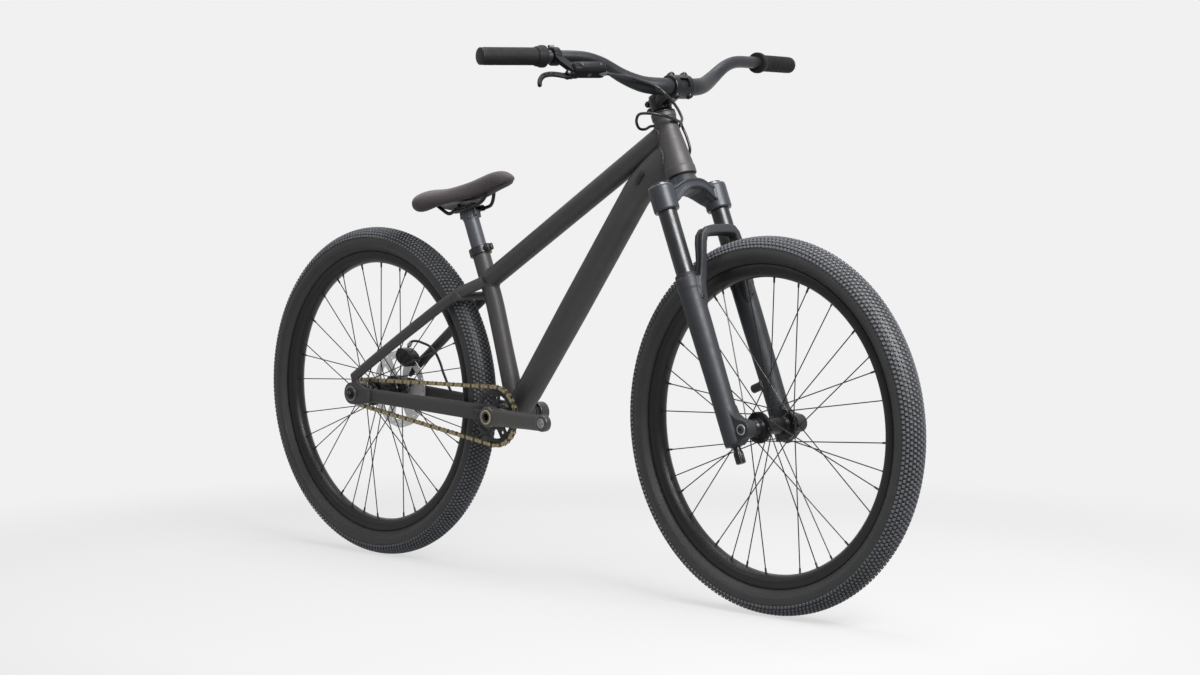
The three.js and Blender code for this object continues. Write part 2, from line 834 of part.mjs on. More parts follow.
// The chain is a ladder: two rails of plates that step in and out, joined by square rollers.
// Each rail has a ring of four corners at the middle of every link, and between two rings its
// inner face has a hole whose four corners are the end of a roller.
function chain() {
  const reach = rollerRadius / Math.SQRT2;
  const points = [];
  const indices = [];
  const pins = chainFit.pins.map((pin) => drivePoint(pin, -chainLineOffset));
  const middles = pins.map((pin, i) => pin.clone().lerp(pins[(i + 1) % chainLinks], 1 / 2));
  const inside = (i) => (i % 2 ? innerPlateInside : innerPlateOutside - plateStep);
  const outside = (i) => (i % 2 ? innerPlateOutside : outerPlateOutside);
  const place = (start, ahead, [forward, across, up]) =>
    along(along(along(start, ahead, forward), yAxis, across), ahead.clone().cross(yAxis), up);
  middles.forEach((middle, i) => {
    const next = (i + 1) % chainLinks;
    const ahead = pins[next].clone().sub(pins[i]).normalize();
    const step = middles[next].clone().sub(middle).normalize();
    const slant = (inside(next) - inside(i)) * (reach / chainPitch);
    const wall = (inside(i) + inside(next)) / 2;
    for (const side of [1, -1]) {
      const [low, high] = [-plateHalfHeight, plateHalfHeight];
      const ring = [
        [0, inside(i), low], [0, outside(i), low], [0, outside(i), high], [0, inside(i), high],
      ];
      const hole = [
        [-reach, wall - slant, reach], [reach, wall + slant, reach],
        [reach, wall + slant, -reach], [-reach, wall - slant, -reach],
      ];
      const sided = ([forward, across, up]) => [forward, side * across, up];
      points.push(...ring.map((corner) => place(middle, ahead, sided(corner))));
      points.push(...hole.map((corner) => place(pins[next], step, sided(corner))));
    }
  });
  const corner = (i, side, k) => (((i % chainLinks) * 2 + side) * 2) * 4 + (k % 4);
  const hole = (i, side, k) => corner(i, side, k) + 4;
  const quad = (side, a, b, c, d) => {
    if (side) indices.push(a, c, b, a, d, c);
    else indices.push(a, b, c, a, c, d);
  };
  for (let i = 0; i < chainLinks; i += 1) {
    for (const side of [0, 1]) {
      for (const k of [0, 1, 2]) {
        quad(side, corner(i, side, k), corner(i + 1, side, k), corner(i + 1, side, k + 1),
          corner(i, side, k + 1));
      }
      const rim = [corner(i, side, 3), corner(i + 1, side, 3), corner(i + 1, side, 0),
        corner(i, side, 0)];
      for (let k = 0; k < 4; k += 1) {
        quad(side, rim[k], rim[(k + 1) % 4], hole(i, side, (k + 1) % 4), hole(i, side, k));
      }
    }
    for (let k = 0; k < 4; k += 1) {
      quad(0, hole(i, 0, k), hole(i, 0, (k + 1) % 4), hole(i, 1, (k + 1) % 4), hole(i, 1, k));
    }
  }
  return skin(points, indices);
}
const plateStep = 0.3;

// Frame
const headTop = headTubeLower + headTubeLength;
const seatFoot = along(bottomBracket, xAxis, seatTubeSetForward);
const slope = (degrees) => vec(-Math.cos(rad(degrees)), 0, Math.sin(rad(degrees)));
const seatLowerWay = slope(seatTubeLowerAngleDeg);
const seatUpperWay = slope(seatTubeUpperAngleDeg);
const seatBend = along(seatFoot, seatLowerWay, seatTubeBendRise / seatLowerWay.z);
const seatTubeTop = along(seatBend, seatUpperWay, seatTubeTopLength);
const seatTopFrame = frameAt(seatTubeTop, seatUpperWay, yAxis);
const postAt = along(seatTubeTop, seatUpperWay, -postInsertion);

function headTube(grow) {
  const low = headTubeLower;
  const taper = headTop - headTubeLength * (1 - headTubeTaperShare);
  const outside = [
    [headTubeLowerRadius + grow, low],
    [headTubeLowerRadius + grow, low + headTubeLowerLip],
    [headTubeUpperRadius + grow, taper],
    [headTubeUpperRadius + grow, headTop - headTubeUpperLip],
    [headTubeLipRadius + grow, headTop - headTubeUpperLip],
    [headTubeLipRadius + grow, headTop],
  ];
  return rod(outside, steerFrame, headSegments);
}
const headSegments = 12;

function headTubeBored() {
  const seat = headTubeLower + lowerBearingHeight;
  const bore = rod([
    [lowerBearingRadius, headTubeLower - overrun], [lowerBearingRadius, seat],
    [steererFootRadius + capInset, seat], [headTubeBore, seat + headTubeLowerLip * 2],
    [headTubeBore, headTop - upperBearingHeight],
    [upperBearingRadius, headTop - upperBearingHeight], [upperBearingRadius, headTop + overrun],
  ], steerFrame, headSegments);
  return cut(headTube(0), bore);
}

function bearing(outer, inner, from, to) {
  const bore = boreFor(inner, headSegments);
  const outside = outer - gap;
  return turned([[bore, from], [outside, from], [outside, to], [bore, to]],
    steerFrame, headSegments);
}

function topTube(grow) {
  const head = steerPoint(0, 0, headTop - topTubeHeadDrop);
  const seat = along(seatTubeTop, seatUpperWay, -topTubeSeatDrop);
  const stations = [0, 1 / 2, 1].map((share) => {
    const radius = THREE.MathUtils.lerp(topTubeRadius, topTubeEndRadius, share) + grow;
    return { at: head.clone().lerp(seat, share), wide: radius, tall: radius };
  });
  return swept(stations, yAxis, tubeSides);
}
const tubeSides = 12;

function downTubeWay(distance) {
  const way = vec(Math.cos(rad(downTubeAngleDeg)), 0, Math.sin(rad(downTubeAngleDeg)));
  return along(along(bottomBracket, xAxis, downTubeSetForward), way, distance);
}

function downTube(grow) {
  const head = steerPoint(0, 0, headTop - downTubeHeadDrop);
  const bend = new THREE.QuadraticBezierCurve3(
    downTubeWay(downTubeBendStart), downTubeWay(downTubeBendAim), head);
  const straight = [0, downTubeBendStart / 2].map((distance, i) => {
    const radius = (i ? downTubeRadius : downTubeFootRadius) + grow;
    return { at: downTubeWay(distance), wide: radius, tall: radius };
  });
  const bent = [0, 1 / 3, 2 / 3, 1].map((share) => ({
    at: bend.getPoint(share),
    wide: THREE.MathUtils.lerp(downTubeRadius, downTubeHeadWidth, share) + grow,
    tall: THREE.MathUtils.lerp(downTubeRadius, downTubeHeadHeight, share) + grow,
  }));
  return swept([...straight, ...bent], yAxis, tubeSides, downTubeSquareness);
}
const downTubeSquareness = 2.3;

function seatTube(grow) {
  const before = along(seatBend, seatLowerWay, -seatTubeBendHalf);
  const after = along(seatBend, seatUpperWay, seatTubeBendHalf);
  const bend = new THREE.QuadraticBezierCurve3(before, seatBend, after);
  const station = (at, radius) => ({ at, wide: radius + grow, tall: radius + grow });
  return swept([
    station(seatFoot, seatTubeFootRadius),
    station(before, seatTubeRadius),
    station(bend.getPoint(1 / 2), seatTubeRadius),
    station(after, seatTubeRadius),
    station(seatTubeTop, seatTubeRadius),
  ], yAxis, tubeSides);
}

const shell = (grow) => cylinder(shellRadius + grow, -shellHalfWidth - grow,
  shellHalfWidth + grow, crankFrame, headSegments);

function chainstay(side, grow) {
  const stations = stayAlongShares.map((share, i) => ({
    at: bottomBracket.clone().lerp(rearAxle, share).setY(side * stayAside * stayAsideShares[i]),
    wide: THREE.MathUtils.lerp(stayFrontWidth, stayRearWidth, share) + grow,
    tall: THREE.MathUtils.lerp(stayFrontHeight, stayRearHeight, share) + grow,
  }));
  return swept(stations, yAxis, staySides, staySquareness);
}
const staySides = 10;
const staySquareness = 3;

function seatstay(side, grow) {
  const top = along(seatTubeTop, seatUpperWay, -topTubeSeatDrop);
  const back = top.x - rearAxle.x;
  const up = top.z - rearAxle.z;
  const stations = seatStayForwardShares.map((share, i) => ({
    at: vec(top.x - back * share * seatStayReachShare, side * rearHubHalfWidth
      * seatStayAsideShares[i] * seatStayFlareShare, rearAxle.z + up * seatStayUpShares[i]),
    wide: THREE.MathUtils.lerp(seatStayTopWidth, seatStayEndWidth, share) + grow,
    tall: THREE.MathUtils.lerp(seatStayTopHeight, seatStayEndHeight, share) + grow,
  }));
  return swept(stations, yAxis, staySides);
}
const seatStayReachShare = 1.18;
const seatStayFlareShare = 1.066;

function stayBridge() {
  const top = along(seatTubeTop, seatUpperWay, -topTubeSeatDrop);
  const x = top.x - (top.x - rearAxle.x) * bridgeBackShare;
  const z = rearAxle.z + (top.z - rearAxle.z) * bridgeUpShare;
  const reach = rearHubHalfWidth * seatStayAsideShares[2];
  return cylinder(bridgeRadius, -reach, reach, frameAt(vec(x, 0, z), yAxis, xAxis), staySides);
}

function dropout(side, grow) {
  const inner = rearHubHalfWidth - grow;
  const outer = rearHubHalfWidth + dropoutThickness + grow;
  const [from, to] = side < 0 ? [-outer, -inner] : [inner, outer];
  const r = dropoutRadius + grow;
  const outline = [
    ...arc(0, 0, r, 90, 270, 6),
    [dropoutReach + grow, -dropoutNeck - grow],
    [dropoutReach + grow, dropoutNeck + grow],
    [dropoutTabWidth + grow, dropoutRadius + grow],
    [dropoutTabWidth + grow, dropoutRise + grow],
    [-grow, dropoutRise + grow],
  ];
  const frame = frameAt(rearAxle, yAxis, chainX);
  return prism(mirrored(outline), from, to, frame);
}

function dropoutSlotted(side) {
  const bore = boreFor(rearAxleRadius, hubSegments);
  const frame = frameAt(rearAxle, yAxis, chainX);
  const length = dropoutSlotLength;
  const slot = [...arc(length, 0, bore, -90, 90, 4), ...arc(-length, 0, bore, 90, 270, 4)];
  const reach = rearHubHalfWidth + dropoutThickness + overrun;
  return cut(dropout(side, 0), prism(slot, -reach, reach, frame));
}

function rearAxleSolid() {
  const face = rearHubHalfWidth + dropoutThickness + gap;
  const shaft = cylinder(rearAxleRadius, -face, face, rearFrame, hubSegments);
  const heads = [-1, 1].map((side) => cylinder(axleNutRadius, Math.min(side * face,
    side * (face + axleHeadThickness)), Math.max(side * face, side * (face + axleHeadThickness)),
  rearFrame, hubSegments));
  return join(shaft, ...heads);
}
const axleNutRadius = 12.5;

// Bottom bracket cups, cranks
function cup(side) {
  const face = shellHalfWidth + gap;
  const bore = boreFor(spindleRadius, hubSegments);
  const body = shellBore - gap;
  const profile = [
    [bore, face - cupDepth], [body, face - cupDepth], [body, face],
    [cupFlangeRadius, face], [cupFlangeRadius, face + cupFlangeThickness],
    [bore, face + cupFlangeThickness],
  ].map(([radius, offset]) => [radius, side * offset]);
  return turned(profile, crankFrame, headSegments);
}

const spindle = () => turned([
  [spindleBore, -armBossOutside], [spindleRadius, -armBossOutside],
  [spindleRadius, armBossOutside], [spindleBore, armBossOutside],
], crankFrame, hubSegments);

function crankArm(side) {
  const sign = -side;
  const frame = frameAt(bottomBracket, yAxis, xAxis);
  const length = crankLength;
  const plan = [
    ...arc(0, 0, armBossRadius, 60, 300, 8),
    [length * armKneeShare, -armWaist],
    ...arc(length, 0, armEndRadius, -70, 70, 5),
    [length * armKneeShare, armWaist],
  ].map(([x, y]) => [sign * x, y]);
  const knee = length * armKneeShare;
  const edge = [
    [-armBossRadius - overrun, armBossInside], [knee, armBossInside],
    [length, armEndInside], [length + overrun, armEndInside],
    [length + overrun, armEndOutside], [length - armEndRadius, armEndOutside],
    [knee, armBossOutside], [-armBossRadius - overrun, armBossOutside],
  ].map(([x, y]) => [sign * x, side * y]);
  const sideways = frameAt(bottomBracket, zAxis, xAxis);
  const reach = armEndOutside + overrun;
  const face = prism(plan, -reach, reach, frame);
  const top = prism(edge, -armBossRadius - overrun, armBossRadius + overrun, sideways);
  const hubBore = boreFor(spindleRadius, hubSegments);
  const pedal = frameAt(along(bottomBracket, xAxis, sign * length), yAxis, xAxis);
  return cut(face.intersect(top),
    cylinder(hubBore, -reach, reach, frame, hubSegments),
    cylinder(pedalBore, -reach, reach, pedal, hubSegments));
}

function rightArm() {
  const mount = turned([
    [boreFor(spindleRadius, hubSegments), -armBossInside - gap],
    [ringMountRadius, -armBossInside - gap],
    [ringMountRadius, toothThickness / 2 - chainLineOffset],
    [boreFor(spindleRadius, hubSegments), toothThickness / 2 - chainLineOffset],
  ], crankFrame, hubSegments);
  return join(crankArm(sideSign.right), mount);
}

// Fork
const legFrame = (side) =>
  frameAt(steerPoint(crownOffset, side * stanchionTrack, 0), steerUp, steerForward);

function steerer() {
  const coneTop = headTubeLower + headTubeLowerLip + lowerBearingHeight;
  const bearingTop = headTubeLower + lowerBearingHeight + gap;
  return turned([
    [steererBore, steererFoot], [steererFootRadius, steererFoot],
    [steererFootRadius, bearingTop], [steererRadius, coneTop],
    [steererRadius, steererTop], [steererBore, steererTop],
  ], steerFrame, headSegments);
}

function crown() {
  const track = stanchionTrack;
  const frontView = [
    [-track, crownBottom], [-track + crownLegRadius, crownBottom + crownRaceHeight / 2],
    [-crownRaceRadius, crownArchTop - crownRaceHeight / 2], [0, crownArchTop],
    [crownRaceRadius, crownArchTop - crownRaceHeight / 2],
    [track - crownLegRadius, crownBottom + crownRaceHeight / 2], [track, crownBottom],
    [track, crownTop - capInset], [track - crownLegRadius, crownTop - capInset],
    [crownRaceRadius, crownWebTop], [-crownRaceRadius, crownWebTop],
    [crownLegRadius - track, crownTop - capInset], [-track, crownTop - capInset],
  ];
  const facing = frameAt(steerOrigin, steerForward, yAxis);
  const web = prism(frontView, -crownDepth - overrun, crownDepth + overrun, facing);
  const topView = [
    [crownOffset - crownLegDepth, -track], [-crownDepth, -crownRaceRadius],
    [-crownDepth, crownRaceRadius], [crownOffset - crownLegDepth, track],
    [crownOffset + crownLegDepth, track], [crownDepth, crownRaceRadius],
    [crownDepth, -crownRaceRadius], [crownOffset + crownLegDepth, -track],
  ];
  const plan = prism(topView, crownBottom - overrun, crownWebTop + overrun, steerFrame);
  const legs = [-1, 1].map((side) =>
    cylinder(crownLegRadius, crownBottom, crownTop, legFrame(side), tubeSides));
  const race = rod([
    [crownRaceRadius, crownArchTop], [crownRaceRadius, crownWebTop],
    [steererFootRadius + capInset, headTubeLower - gap],
  ], steerFrame, headSegments);
  const sockets = [-1, 1].map((side) => cylinder(boreFor(stanchionRadius, tubeSides),
    crownBottom - overrun, crownTop + overrun, legFrame(side), tubeSides));
  const steererHole = cylinder(boreFor(steererFootRadius, headSegments),
    steererFoot - gap, headTubeLower + overrun, steerFrame, headSegments);
  return cut(join(web.intersect(plan), ...legs, race), ...sockets, steererHole);
}

const stanchion = (side) =>
  cylinder(stanchionRadius, stanchionBottom, crownTop - capInset, legFrame(side), tubeSides);

const legCap = (side) => rod([
  [capRadius, crownTop - capInset + gap],
  [capRadius, crownTop + capHeight - capInset],
  [capRadius - capInset, crownTop + capHeight],
], legFrame(side), tubeSides);

function lowerLeg(side) {
  return rod([
    [legLowRadius, legBottom], [legLowRadius, legBoreBottom],
    [legRadius, (legBoreBottom + legTop) / 2], [legRadius, legTop],
  ], legFrame(side), tubeSides);
}

function legFoot(side) {
  const reach = forkOffset - crownOffset;
  const outline = [
    [-legLowRadius + capInset, footDepth * 2], [-legLowRadius + capInset, legBottom],
    [legLowRadius / 2, legBottom - capInset],
    ...arc(reach, 0, axleBossRadius, -110, 70, 6),
    [legLowRadius - capInset, footDepth * 2],
  ];
  const [from, to] = side < 0 ? [-lowersOutside, -lowersInside] : [lowersInside, lowersOutside];
  const foot = frameAt(steerPoint(crownOffset, 0, 0), yAxis.clone().negate(), steerForward);
  return prism(outline, -to, -from, foot);
}

function forkArch() {
  const corner = archHalfWidth;
  const rise = archTop - archRoot;
  const root = stanchionTrack - legRadius + archThickness;
  const half = [
    [crownOffset + archBreadth, root, archRoot - rise / 4],
    [THREE.MathUtils.lerp(crownOffset, archForward, archLeanShare), root - archThickness,
      archRoot + rise / 4],
    [archForward - archThickness, corner + archThickness / 2, archTop - rise / 5],
    [archForward, corner - archThickness, archTop - archThickness],
  ];
  const bow = [
    ...half.map(([n, y, s]) => steerPoint(n, -y, s)),
    ...half.map(([n, y, s]) => steerPoint(n, y, s)).reverse(),
  ];
  return swept(bow.map((at, i) => ({
    at, wide: archBreadth, tall: archThickness * archThickShares[i],
  })), steerForward, archSides, archSquareness);
}
const archLeanShare = 0.64;
const archThickShares = [1.1, 1, 1, 1, 1, 1, 1, 1.1];
const archSides = 8;
const archSquareness = 4;

function postMount(level) {
  const back = steerForward.clone().negate();
  const boss = frameAt(steerPoint(crownOffset, lowersInside, level), back, steerUp);
  const body = cylinder(postRadius, 0, postReach, boss, hoseSides);
  const hole = cylinder(postHoleRadius, postReach - postHoleDepth, postReach + overrun,
    boss, hoseSides);
  return { body, hole };
}

function lowers() {
  const posts = [postUpper, postUpper - postSpacing].map(postMount);
  const legs = [-1, 1].flatMap((side) => [lowerLeg(side), legFoot(side)]);
  const whole = join(legs[0], ...legs.slice(1), forkArch(), ...posts.map((post) => post.body));
  const bores = [-1, 1].map((side) => cylinder(boreFor(stanchionRadius, tubeSides),
    legBoreBottom, legTop + overrun, legFrame(side), tubeSides));
  const reach = lowersOutside + overrun;
  const axleHole = cylinder(boreFor(frontAxleRadius, hubSegments), -reach, reach,
    frontFrame, hubSegments);
  return cut(whole, ...bores, axleHole, ...posts.map((post) => post.hole));
}

function frontAxleSolid() {
  const face = lowersOutside + gap;
  const shaft = cylinder(frontAxleRadius, -face, face, frontFrame, hubSegments);
  return join(shaft, cylinder(axleHeadRadius, -face - axleHeadThickness, -face,
    frontFrame, headSegments));
}

function reboundKnob() {
  const frame = legFrame(sideSign.right);
  const points = [];
  for (let i = 0; i < 2 * knobFlutes; i += 1) {
    const radius = i % 2 ? knobRadius - knobFluteDepth : knobRadius;
    const angle = (Math.PI * i) / knobFlutes;
    points.push([radius * Math.cos(angle), radius * Math.sin(angle)]);
  }
  return prism(points, knobTop - knobLength, knobTop, frame);
}

// Cockpit
const barCentre = steerPoint(stemReach, 0, stemClampCentre + barClampRise);

function barPath() {
  const half = barOutShares.map((share, i) => {
    const back = barBack * barBackShares[i];
    const up = barUp * barUpShares[i];
    return (side) => along(along(barCentre, steerForward, -back), steerUp, up)
      .setY(side * barHalfWidth * share);
  });
  return (side) => half.map((point) => point(side));
}

function barCurve(side) {
  return new THREE.CatmullRomCurve3([barCentre, ...barPath()(side)], false, 'catmullrom', barTension);
}

function handlebar() {
  const halves = [-1, 1].map((side) => {
    const curve = barCurve(side);
    return barPlaceShares.map((place) => {
      const at = curve.getPoint(place);
      const share = THREE.MathUtils.smoothstep(Math.abs(at.y), barClampHalf,
        barHalfWidth * barTaperShare);
      const radius = THREE.MathUtils.lerp(barRadius, barEndRadius, share);
      return { at, wide: radius, tall: radius };
    });
  });
  const middle = [-1, 1].map((side) => ({
    at: barCentre.clone().setY(side * barClampHalf), wide: barRadius, tall: barRadius,
  }));
  const fromRight = halves[0].reverse().filter(({ at }) => Math.abs(at.y) > barClampHalf);
  const toLeft = halves[1].filter(({ at }) => Math.abs(at.y) > barClampHalf);
  return swept([...fromRight, ...middle, ...toLeft], steerForward, barSides);
}
const barTaperShare = 0.45;
const barSides = 10;

function barEndFrame(side) {
  const path = barPath()(side);
  const end = path[path.length - 1];
  const before = path[path.length - 2];
  const out = end.clone().sub(before).normalize();
  return frameAt(end, out, steerForward);
}

function grip(side) {
  const frame = barEndFrame(side);
  const inner = snugBore(barEndRadius, barSides) + gap / 2;
  const start = gripOverhang - gripLength;
  const outside = [
    [gripFlangeRadius, start], [gripFlangeRadius, start + gripFlangeWidth],
    [gripRadius, start + gripFlangeWidth], [gripRadius, gripOverhang - gripLip],
    [gripRadius - gripLip, gripOverhang],
  ];
  const body = rod(outside, frame, barSides);
  return cut(body, cylinder(inner, start - overrun, gap * 2, frame, barSides));
}

function stemBody() {
  const frame = frameAt(steerOrigin, steerUp, steerForward);
  const centre = stemClampCentre;
  const clampTop = steererTop - gap;
  const tube = cylinder(stemClampRadius, stemClampLower, clampTop, frame, headSegments);
  const barFrame = frameAt(barCentre, yAxis, steerForward);
  const cradle = cylinder(barRadius + faceplateThickness, -stemHalfWidth, stemHalfWidth,
    barFrame, headSegments);
  const low = steerPoint(0, 0, centre);
  const neck = swept([
    { at: low, wide: stemClampRadius, tall: (clampTop - stemClampLower) / 2 - stemNeckInset },
    { at: barCentre, wide: stemHalfWidth, tall: barRadius },
  ], yAxis, staySides, staySquareness);
  const split = block(0, overrun * 2, -overrun * 2, overrun * 2, -stemHalfWidth - overrun,
    stemHalfWidth + overrun, barFrame);
  const capRoom = cylinder(spacerRadius + gap, clampTop, clampTop + overrun, frame, headSegments);
  return cut(join(tube, cradle, neck), split, capRoom,
    cylinder(snugBore(barRadius, barSides), -stemHalfWidth - overrun, stemHalfWidth + overrun,
      barFrame, barSides),
    cylinder(boreFor(steererRadius, headSegments), stemClampLower - overrun,
      clampTop + overrun, frame, headSegments));
}

function stemFaceplate() {
  const barFrame = frameAt(barCentre, yAxis, steerForward);
  const outer = cylinder(barRadius + faceplateThickness, -stemHalfWidth, stemHalfWidth,
    barFrame, headSegments);
  const back = block(-overrun * 2, clampSlit, -overrun * 2, overrun * 2,
    -stemHalfWidth - overrun, stemHalfWidth + overrun, barFrame);
  const window = block(barRadius / 3, overrun * 2, -barRadius / 2, barRadius / 2,
    -stemHalfWidth / 2, stemHalfWidth / 2, barFrame);
  return cut(outer, back, window,
    cylinder(snugBore(barRadius, barSides), -stemHalfWidth - overrun, stemHalfWidth + overrun,
      barFrame, barSides));
}

const headsetCap = () => turned([
  [boreFor(steererRadius, headSegments), headTop + gap], [headTubeLipRadius, headTop + gap],
  [spacerRadius, stemClampLower - spacerHeight / 2], [spacerRadius, stemClampLower - gap],
  [boreFor(steererRadius, headSegments), stemClampLower - gap],
], steerFrame, headSegments);

const topCap = () => rod([
  [steererBore - gap, steererTop - spacerHeight], [steererBore - gap, steererTop + gap],
  [spacerRadius, steererTop + gap], [spacerRadius, steererTop + topCapHeight - topCapChamfer],
  [spacerRadius - topCapChamfer, steererTop + topCapHeight],
], steerFrame, headSegments);

// Brake lever
function leverFrame() {
  const path = barPath()(sideSign.right);
  const end = path[path.length - 1];
  const before = path[path.length - 2];
  const out = end.clone().sub(before).normalize();
  const share = (leverStation - Math.abs(before.y)) / (Math.abs(end.y) - Math.abs(before.y));
  const origin = before.clone().lerp(end, share);
  const away = vec(Math.cos(rad(leverDropDeg)), 0, -Math.sin(rad(leverDropDeg)));
  const over = out.clone().cross(away).normalize();
  const square = over.clone().cross(out).normalize();
  return new THREE.Matrix4().makeBasis(out, square, over).setPosition(origin);
}

// The lever frame turned so that its Z runs out along the bar
function outwardFrame() {
  const lever = leverFrame();
  const square = vec(0, 1, 0).transformDirection(lever);
  return frameAt(vec(0, 0, 0).applyMatrix4(lever), vec(1, 0, 0).transformDirection(lever), square);
}

// The master cylinder's frame, from its outer end inward, leaning away from the bar
function masterFrame() {
  const lever = leverFrame();
  const outer = vec(leverBodyOuter, leverBodyAway, leverBodyOver).applyMatrix4(lever);
  const inner = vec(leverBodyInner, leverBodyAway + leverBodyTilt, leverBodyOver);
  return frameAt(outer, inner.applyMatrix4(lever).sub(outer),
    vec(0, 1, 0).transformDirection(lever));
}

function leverBody() {
  const bar = outwardFrame();
  const frame = leverFrame();
  const barAtLever = frameAt(vec(0, 0, 0).applyMatrix4(frame),
    vec(1, 0, 0).transformDirection(frame), steerForward);
  const band = cylinder(leverBandRadius, -leverBandHalfWidth, leverBandHalfWidth,
    bar, barSides);
  const length = leverBodyOuter - leverBodyInner;
  const master = cylinder(leverBodyRadius, 0, length, masterFrame(), hubSegments);
  const nut = cylinder(hoseNutRadius, length - overrun, length + hoseNutLength,
    masterFrame(), hoseSides);
  const arm = prism([
    [-leverBandHalfWidth, leverBandRadius / 2], [leverBandHalfWidth, leverBandRadius / 2],
    [leverBodyOuter + leverBandHalfWidth, leverBodyAway + leverBodyRadius / 2],
    [leverBodyOuter - overrun, leverBodyAway + leverBodyRadius / 2],
    [leverBodyOuter - overrun, leverBodyAway - leverBodyRadius / 2],
  ], bladeThickness / 2 + gap, leverBodyOver + leverBodyRadius / 2, frame);
  const lug = [
    ...arc(leverPivotOut, leverPivotAway, leverPivotRadius, -60, 120, 4),
    [leverBodyOuter - overrun, leverBodyAway + leverBodyRadius / 2],
    [leverBodyOuter - overrun, leverBodyAway - leverBodyRadius / 2],
  ];
  const upper = prism(lug, bladeThickness / 2 + gap, bladeThickness / 2 + gap + leverLugThickness,
    frame);
  const lower = prism(lug, -bladeThickness / 2 - gap - leverLugThickness,
    -bladeThickness / 2 - gap, frame);
  const room = cylinder(leverPivotRadius * 2, -bladeThickness / 2 - gap,
    bladeThickness / 2 + gap, pivotFrame(), hubSegments);
  const swing = prism(bladeSwing(), -bladeThickness / 2 - gap, bladeThickness / 2 + gap, frame);
  return cut(join(band, master, nut, arm, upper, lower), room, swing,
    cylinder(snugBore(barEndRadius, barSides) + gap / 2, -overrun * 2, overrun * 2,
      barAtLever, barSides),
    cylinder(leverPinRadius + gap, -overrun, overrun, pivotFrame(), hoseSides));
}
const leverPinRadius = 2.4;

// The room that the blade sweeps beside the pivot
function bladeSwing() {
  const [x, y] = [leverPivotOut, leverPivotAway];
  return [
    [x, y + leverPivotRadius * 2], [x, y - leverPivotRadius * 2],
    [x + bladeLengthOut, y - leverBodyAway], [x + bladeLengthOut, y + leverBodyAway],
  ];
}

function pivotFrame() {
  const lever = leverFrame();
  const point = vec(leverPivotOut, leverPivotAway, 0).applyMatrix4(lever);
  return frameAt(point, vec(0, 0, 1).transformDirection(lever),
    vec(1, 0, 0).transformDirection(lever));
}

function leverBlade() {
  const frame = leverFrame();
  const [x, y] = [leverPivotOut, leverPivotAway];
  const curve = new THREE.QuadraticBezierCurve(
    new THREE.Vector2(x, y),
    new THREE.Vector2(x + bladeLengthOut / 2, y + bladeLengthAway * bladeBellyShare),
    new THREE.Vector2(x + bladeLengthOut, y + bladeLengthAway));
  const spine = Array.from({ length: bladeSteps + 1 }, (_, i) => curve.getPoint(i / bladeSteps));
  const outer = spine.map((p) => [p.x, p.y + bladeWidth]);
  const inner = spine.map((p) => [p.x, p.y - bladeWidth]).reverse();
  outer.push([x + bladeLengthOut + bladeHook, y + bladeLengthAway + bladeHook]);
  outer.push([x + bladeLengthOut + bladeHook, y + bladeLengthAway + bladeHook - bladeWidth]);
  const half = bladeThickness / 2;
  const pin = cylinder(leverPinRadius, -half - gap - leverLugThickness,
    half + gap + leverLugThickness, pivotFrame(), hoseSides);
  const eye = cylinder(leverPivotRadius, -half, half, pivotFrame(), hubSegments);
  return join(prism([...outer, ...inner], -half, half, frame), eye, pin);
}
const bladeBellyShare = -0.1;
const bladeSteps = 7;

// Seatpost and saddle
const postHeadAt = along(seatTubeTop, seatUpperWay, postExposed);
const pitchWay = vec(Math.cos(rad(saddlePitchDeg)), 0, Math.sin(rad(saddlePitchDeg)));
const pitchUp = vec(-Math.sin(rad(saddlePitchDeg)), 0, Math.cos(rad(saddlePitchDeg)));
const clampOrigin = along(postHeadAt, pitchUp, headBlockHeight);
const saddleOrigin = along(along(clampOrigin, pitchWay, -clampAlong), pitchUp, railDrop);
const saddleFrame = new THREE.Matrix4().makeBasis(pitchWay, yAxis, pitchUp)
  .setPosition(saddleOrigin);
const saddlePoint = (x, y, z) => vec(x, y, z).applyMatrix4(saddleFrame);

function seatPostBored() {
  const tube = cylinder(postTubeRadius, -postInsertion, postExposed, seatTopFrame, headSegments);
  const bottom = -railDrop - cradleHeight - gap;
  const head = block(clampAlong - headBlockLength / 2, clampAlong + headBlockLength / 2,
    -headBlockHalfWidth, headBlockHalfWidth, bottom - headBlockHeight, bottom, saddleFrame);
  const above = block(clampAlong - overrun * 2, clampAlong + overrun * 2, -overrun * 2,
    overrun * 2, bottom, bottom + overrun * 2, saddleFrame);
  return cut(join(tube, head), above);
}

// One plate of the rail clamp, above or below the rails, grooved where they lie
function railPlate(upper) {
  const from = upper ? gap / 2 : -cradleHeight - gap / 2;
  const to = upper ? cradleHeight - gap : -gap / 2;
  const base = -railDrop;
  const plate = block(clampAlong - cradleLength / 2, clampAlong + cradleLength / 2,
    -cradleHalfWidth, cradleHalfWidth, base + from, base + to, saddleFrame);
  const grooves = [-1, 1].map((side) => {
    const axis = frameAt(saddlePoint(clampAlong, side * railSpread, base), pitchWay, yAxis);
    return cylinder(boreFor(railRadius, railSides), -overrun * 2, overrun * 2, axis, railSides);
  });
  return cut(plate, ...grooves);
}

function railPath(side) {
  const bend = railRadius * 2;
  return railAlongShares.map((share, i) => saddlePoint(saddleNose * share,
    side * railSpread * railAsideShares[i], bend * railRiseShares[i] - railDrop));
}
const railAlongShares = [0.66, 0.59, 0.52, 0.41, 0.27, -0.33, -0.47, -0.66, -0.9];
const railAsideShares = [0.4, 0.45, 0.5, 0.68, 1, 1, 1.05, 1.15, 1.3];
const railRiseShares = [5, 3.6, 1.3, 0.1, 0, 0, 0.2, 1.9, 3.4];

const rail = (side) =>
  swept(railPath(side).map((at) => ({ at, wide: railRadius, tall: railRadius })), yAxis, railSides);

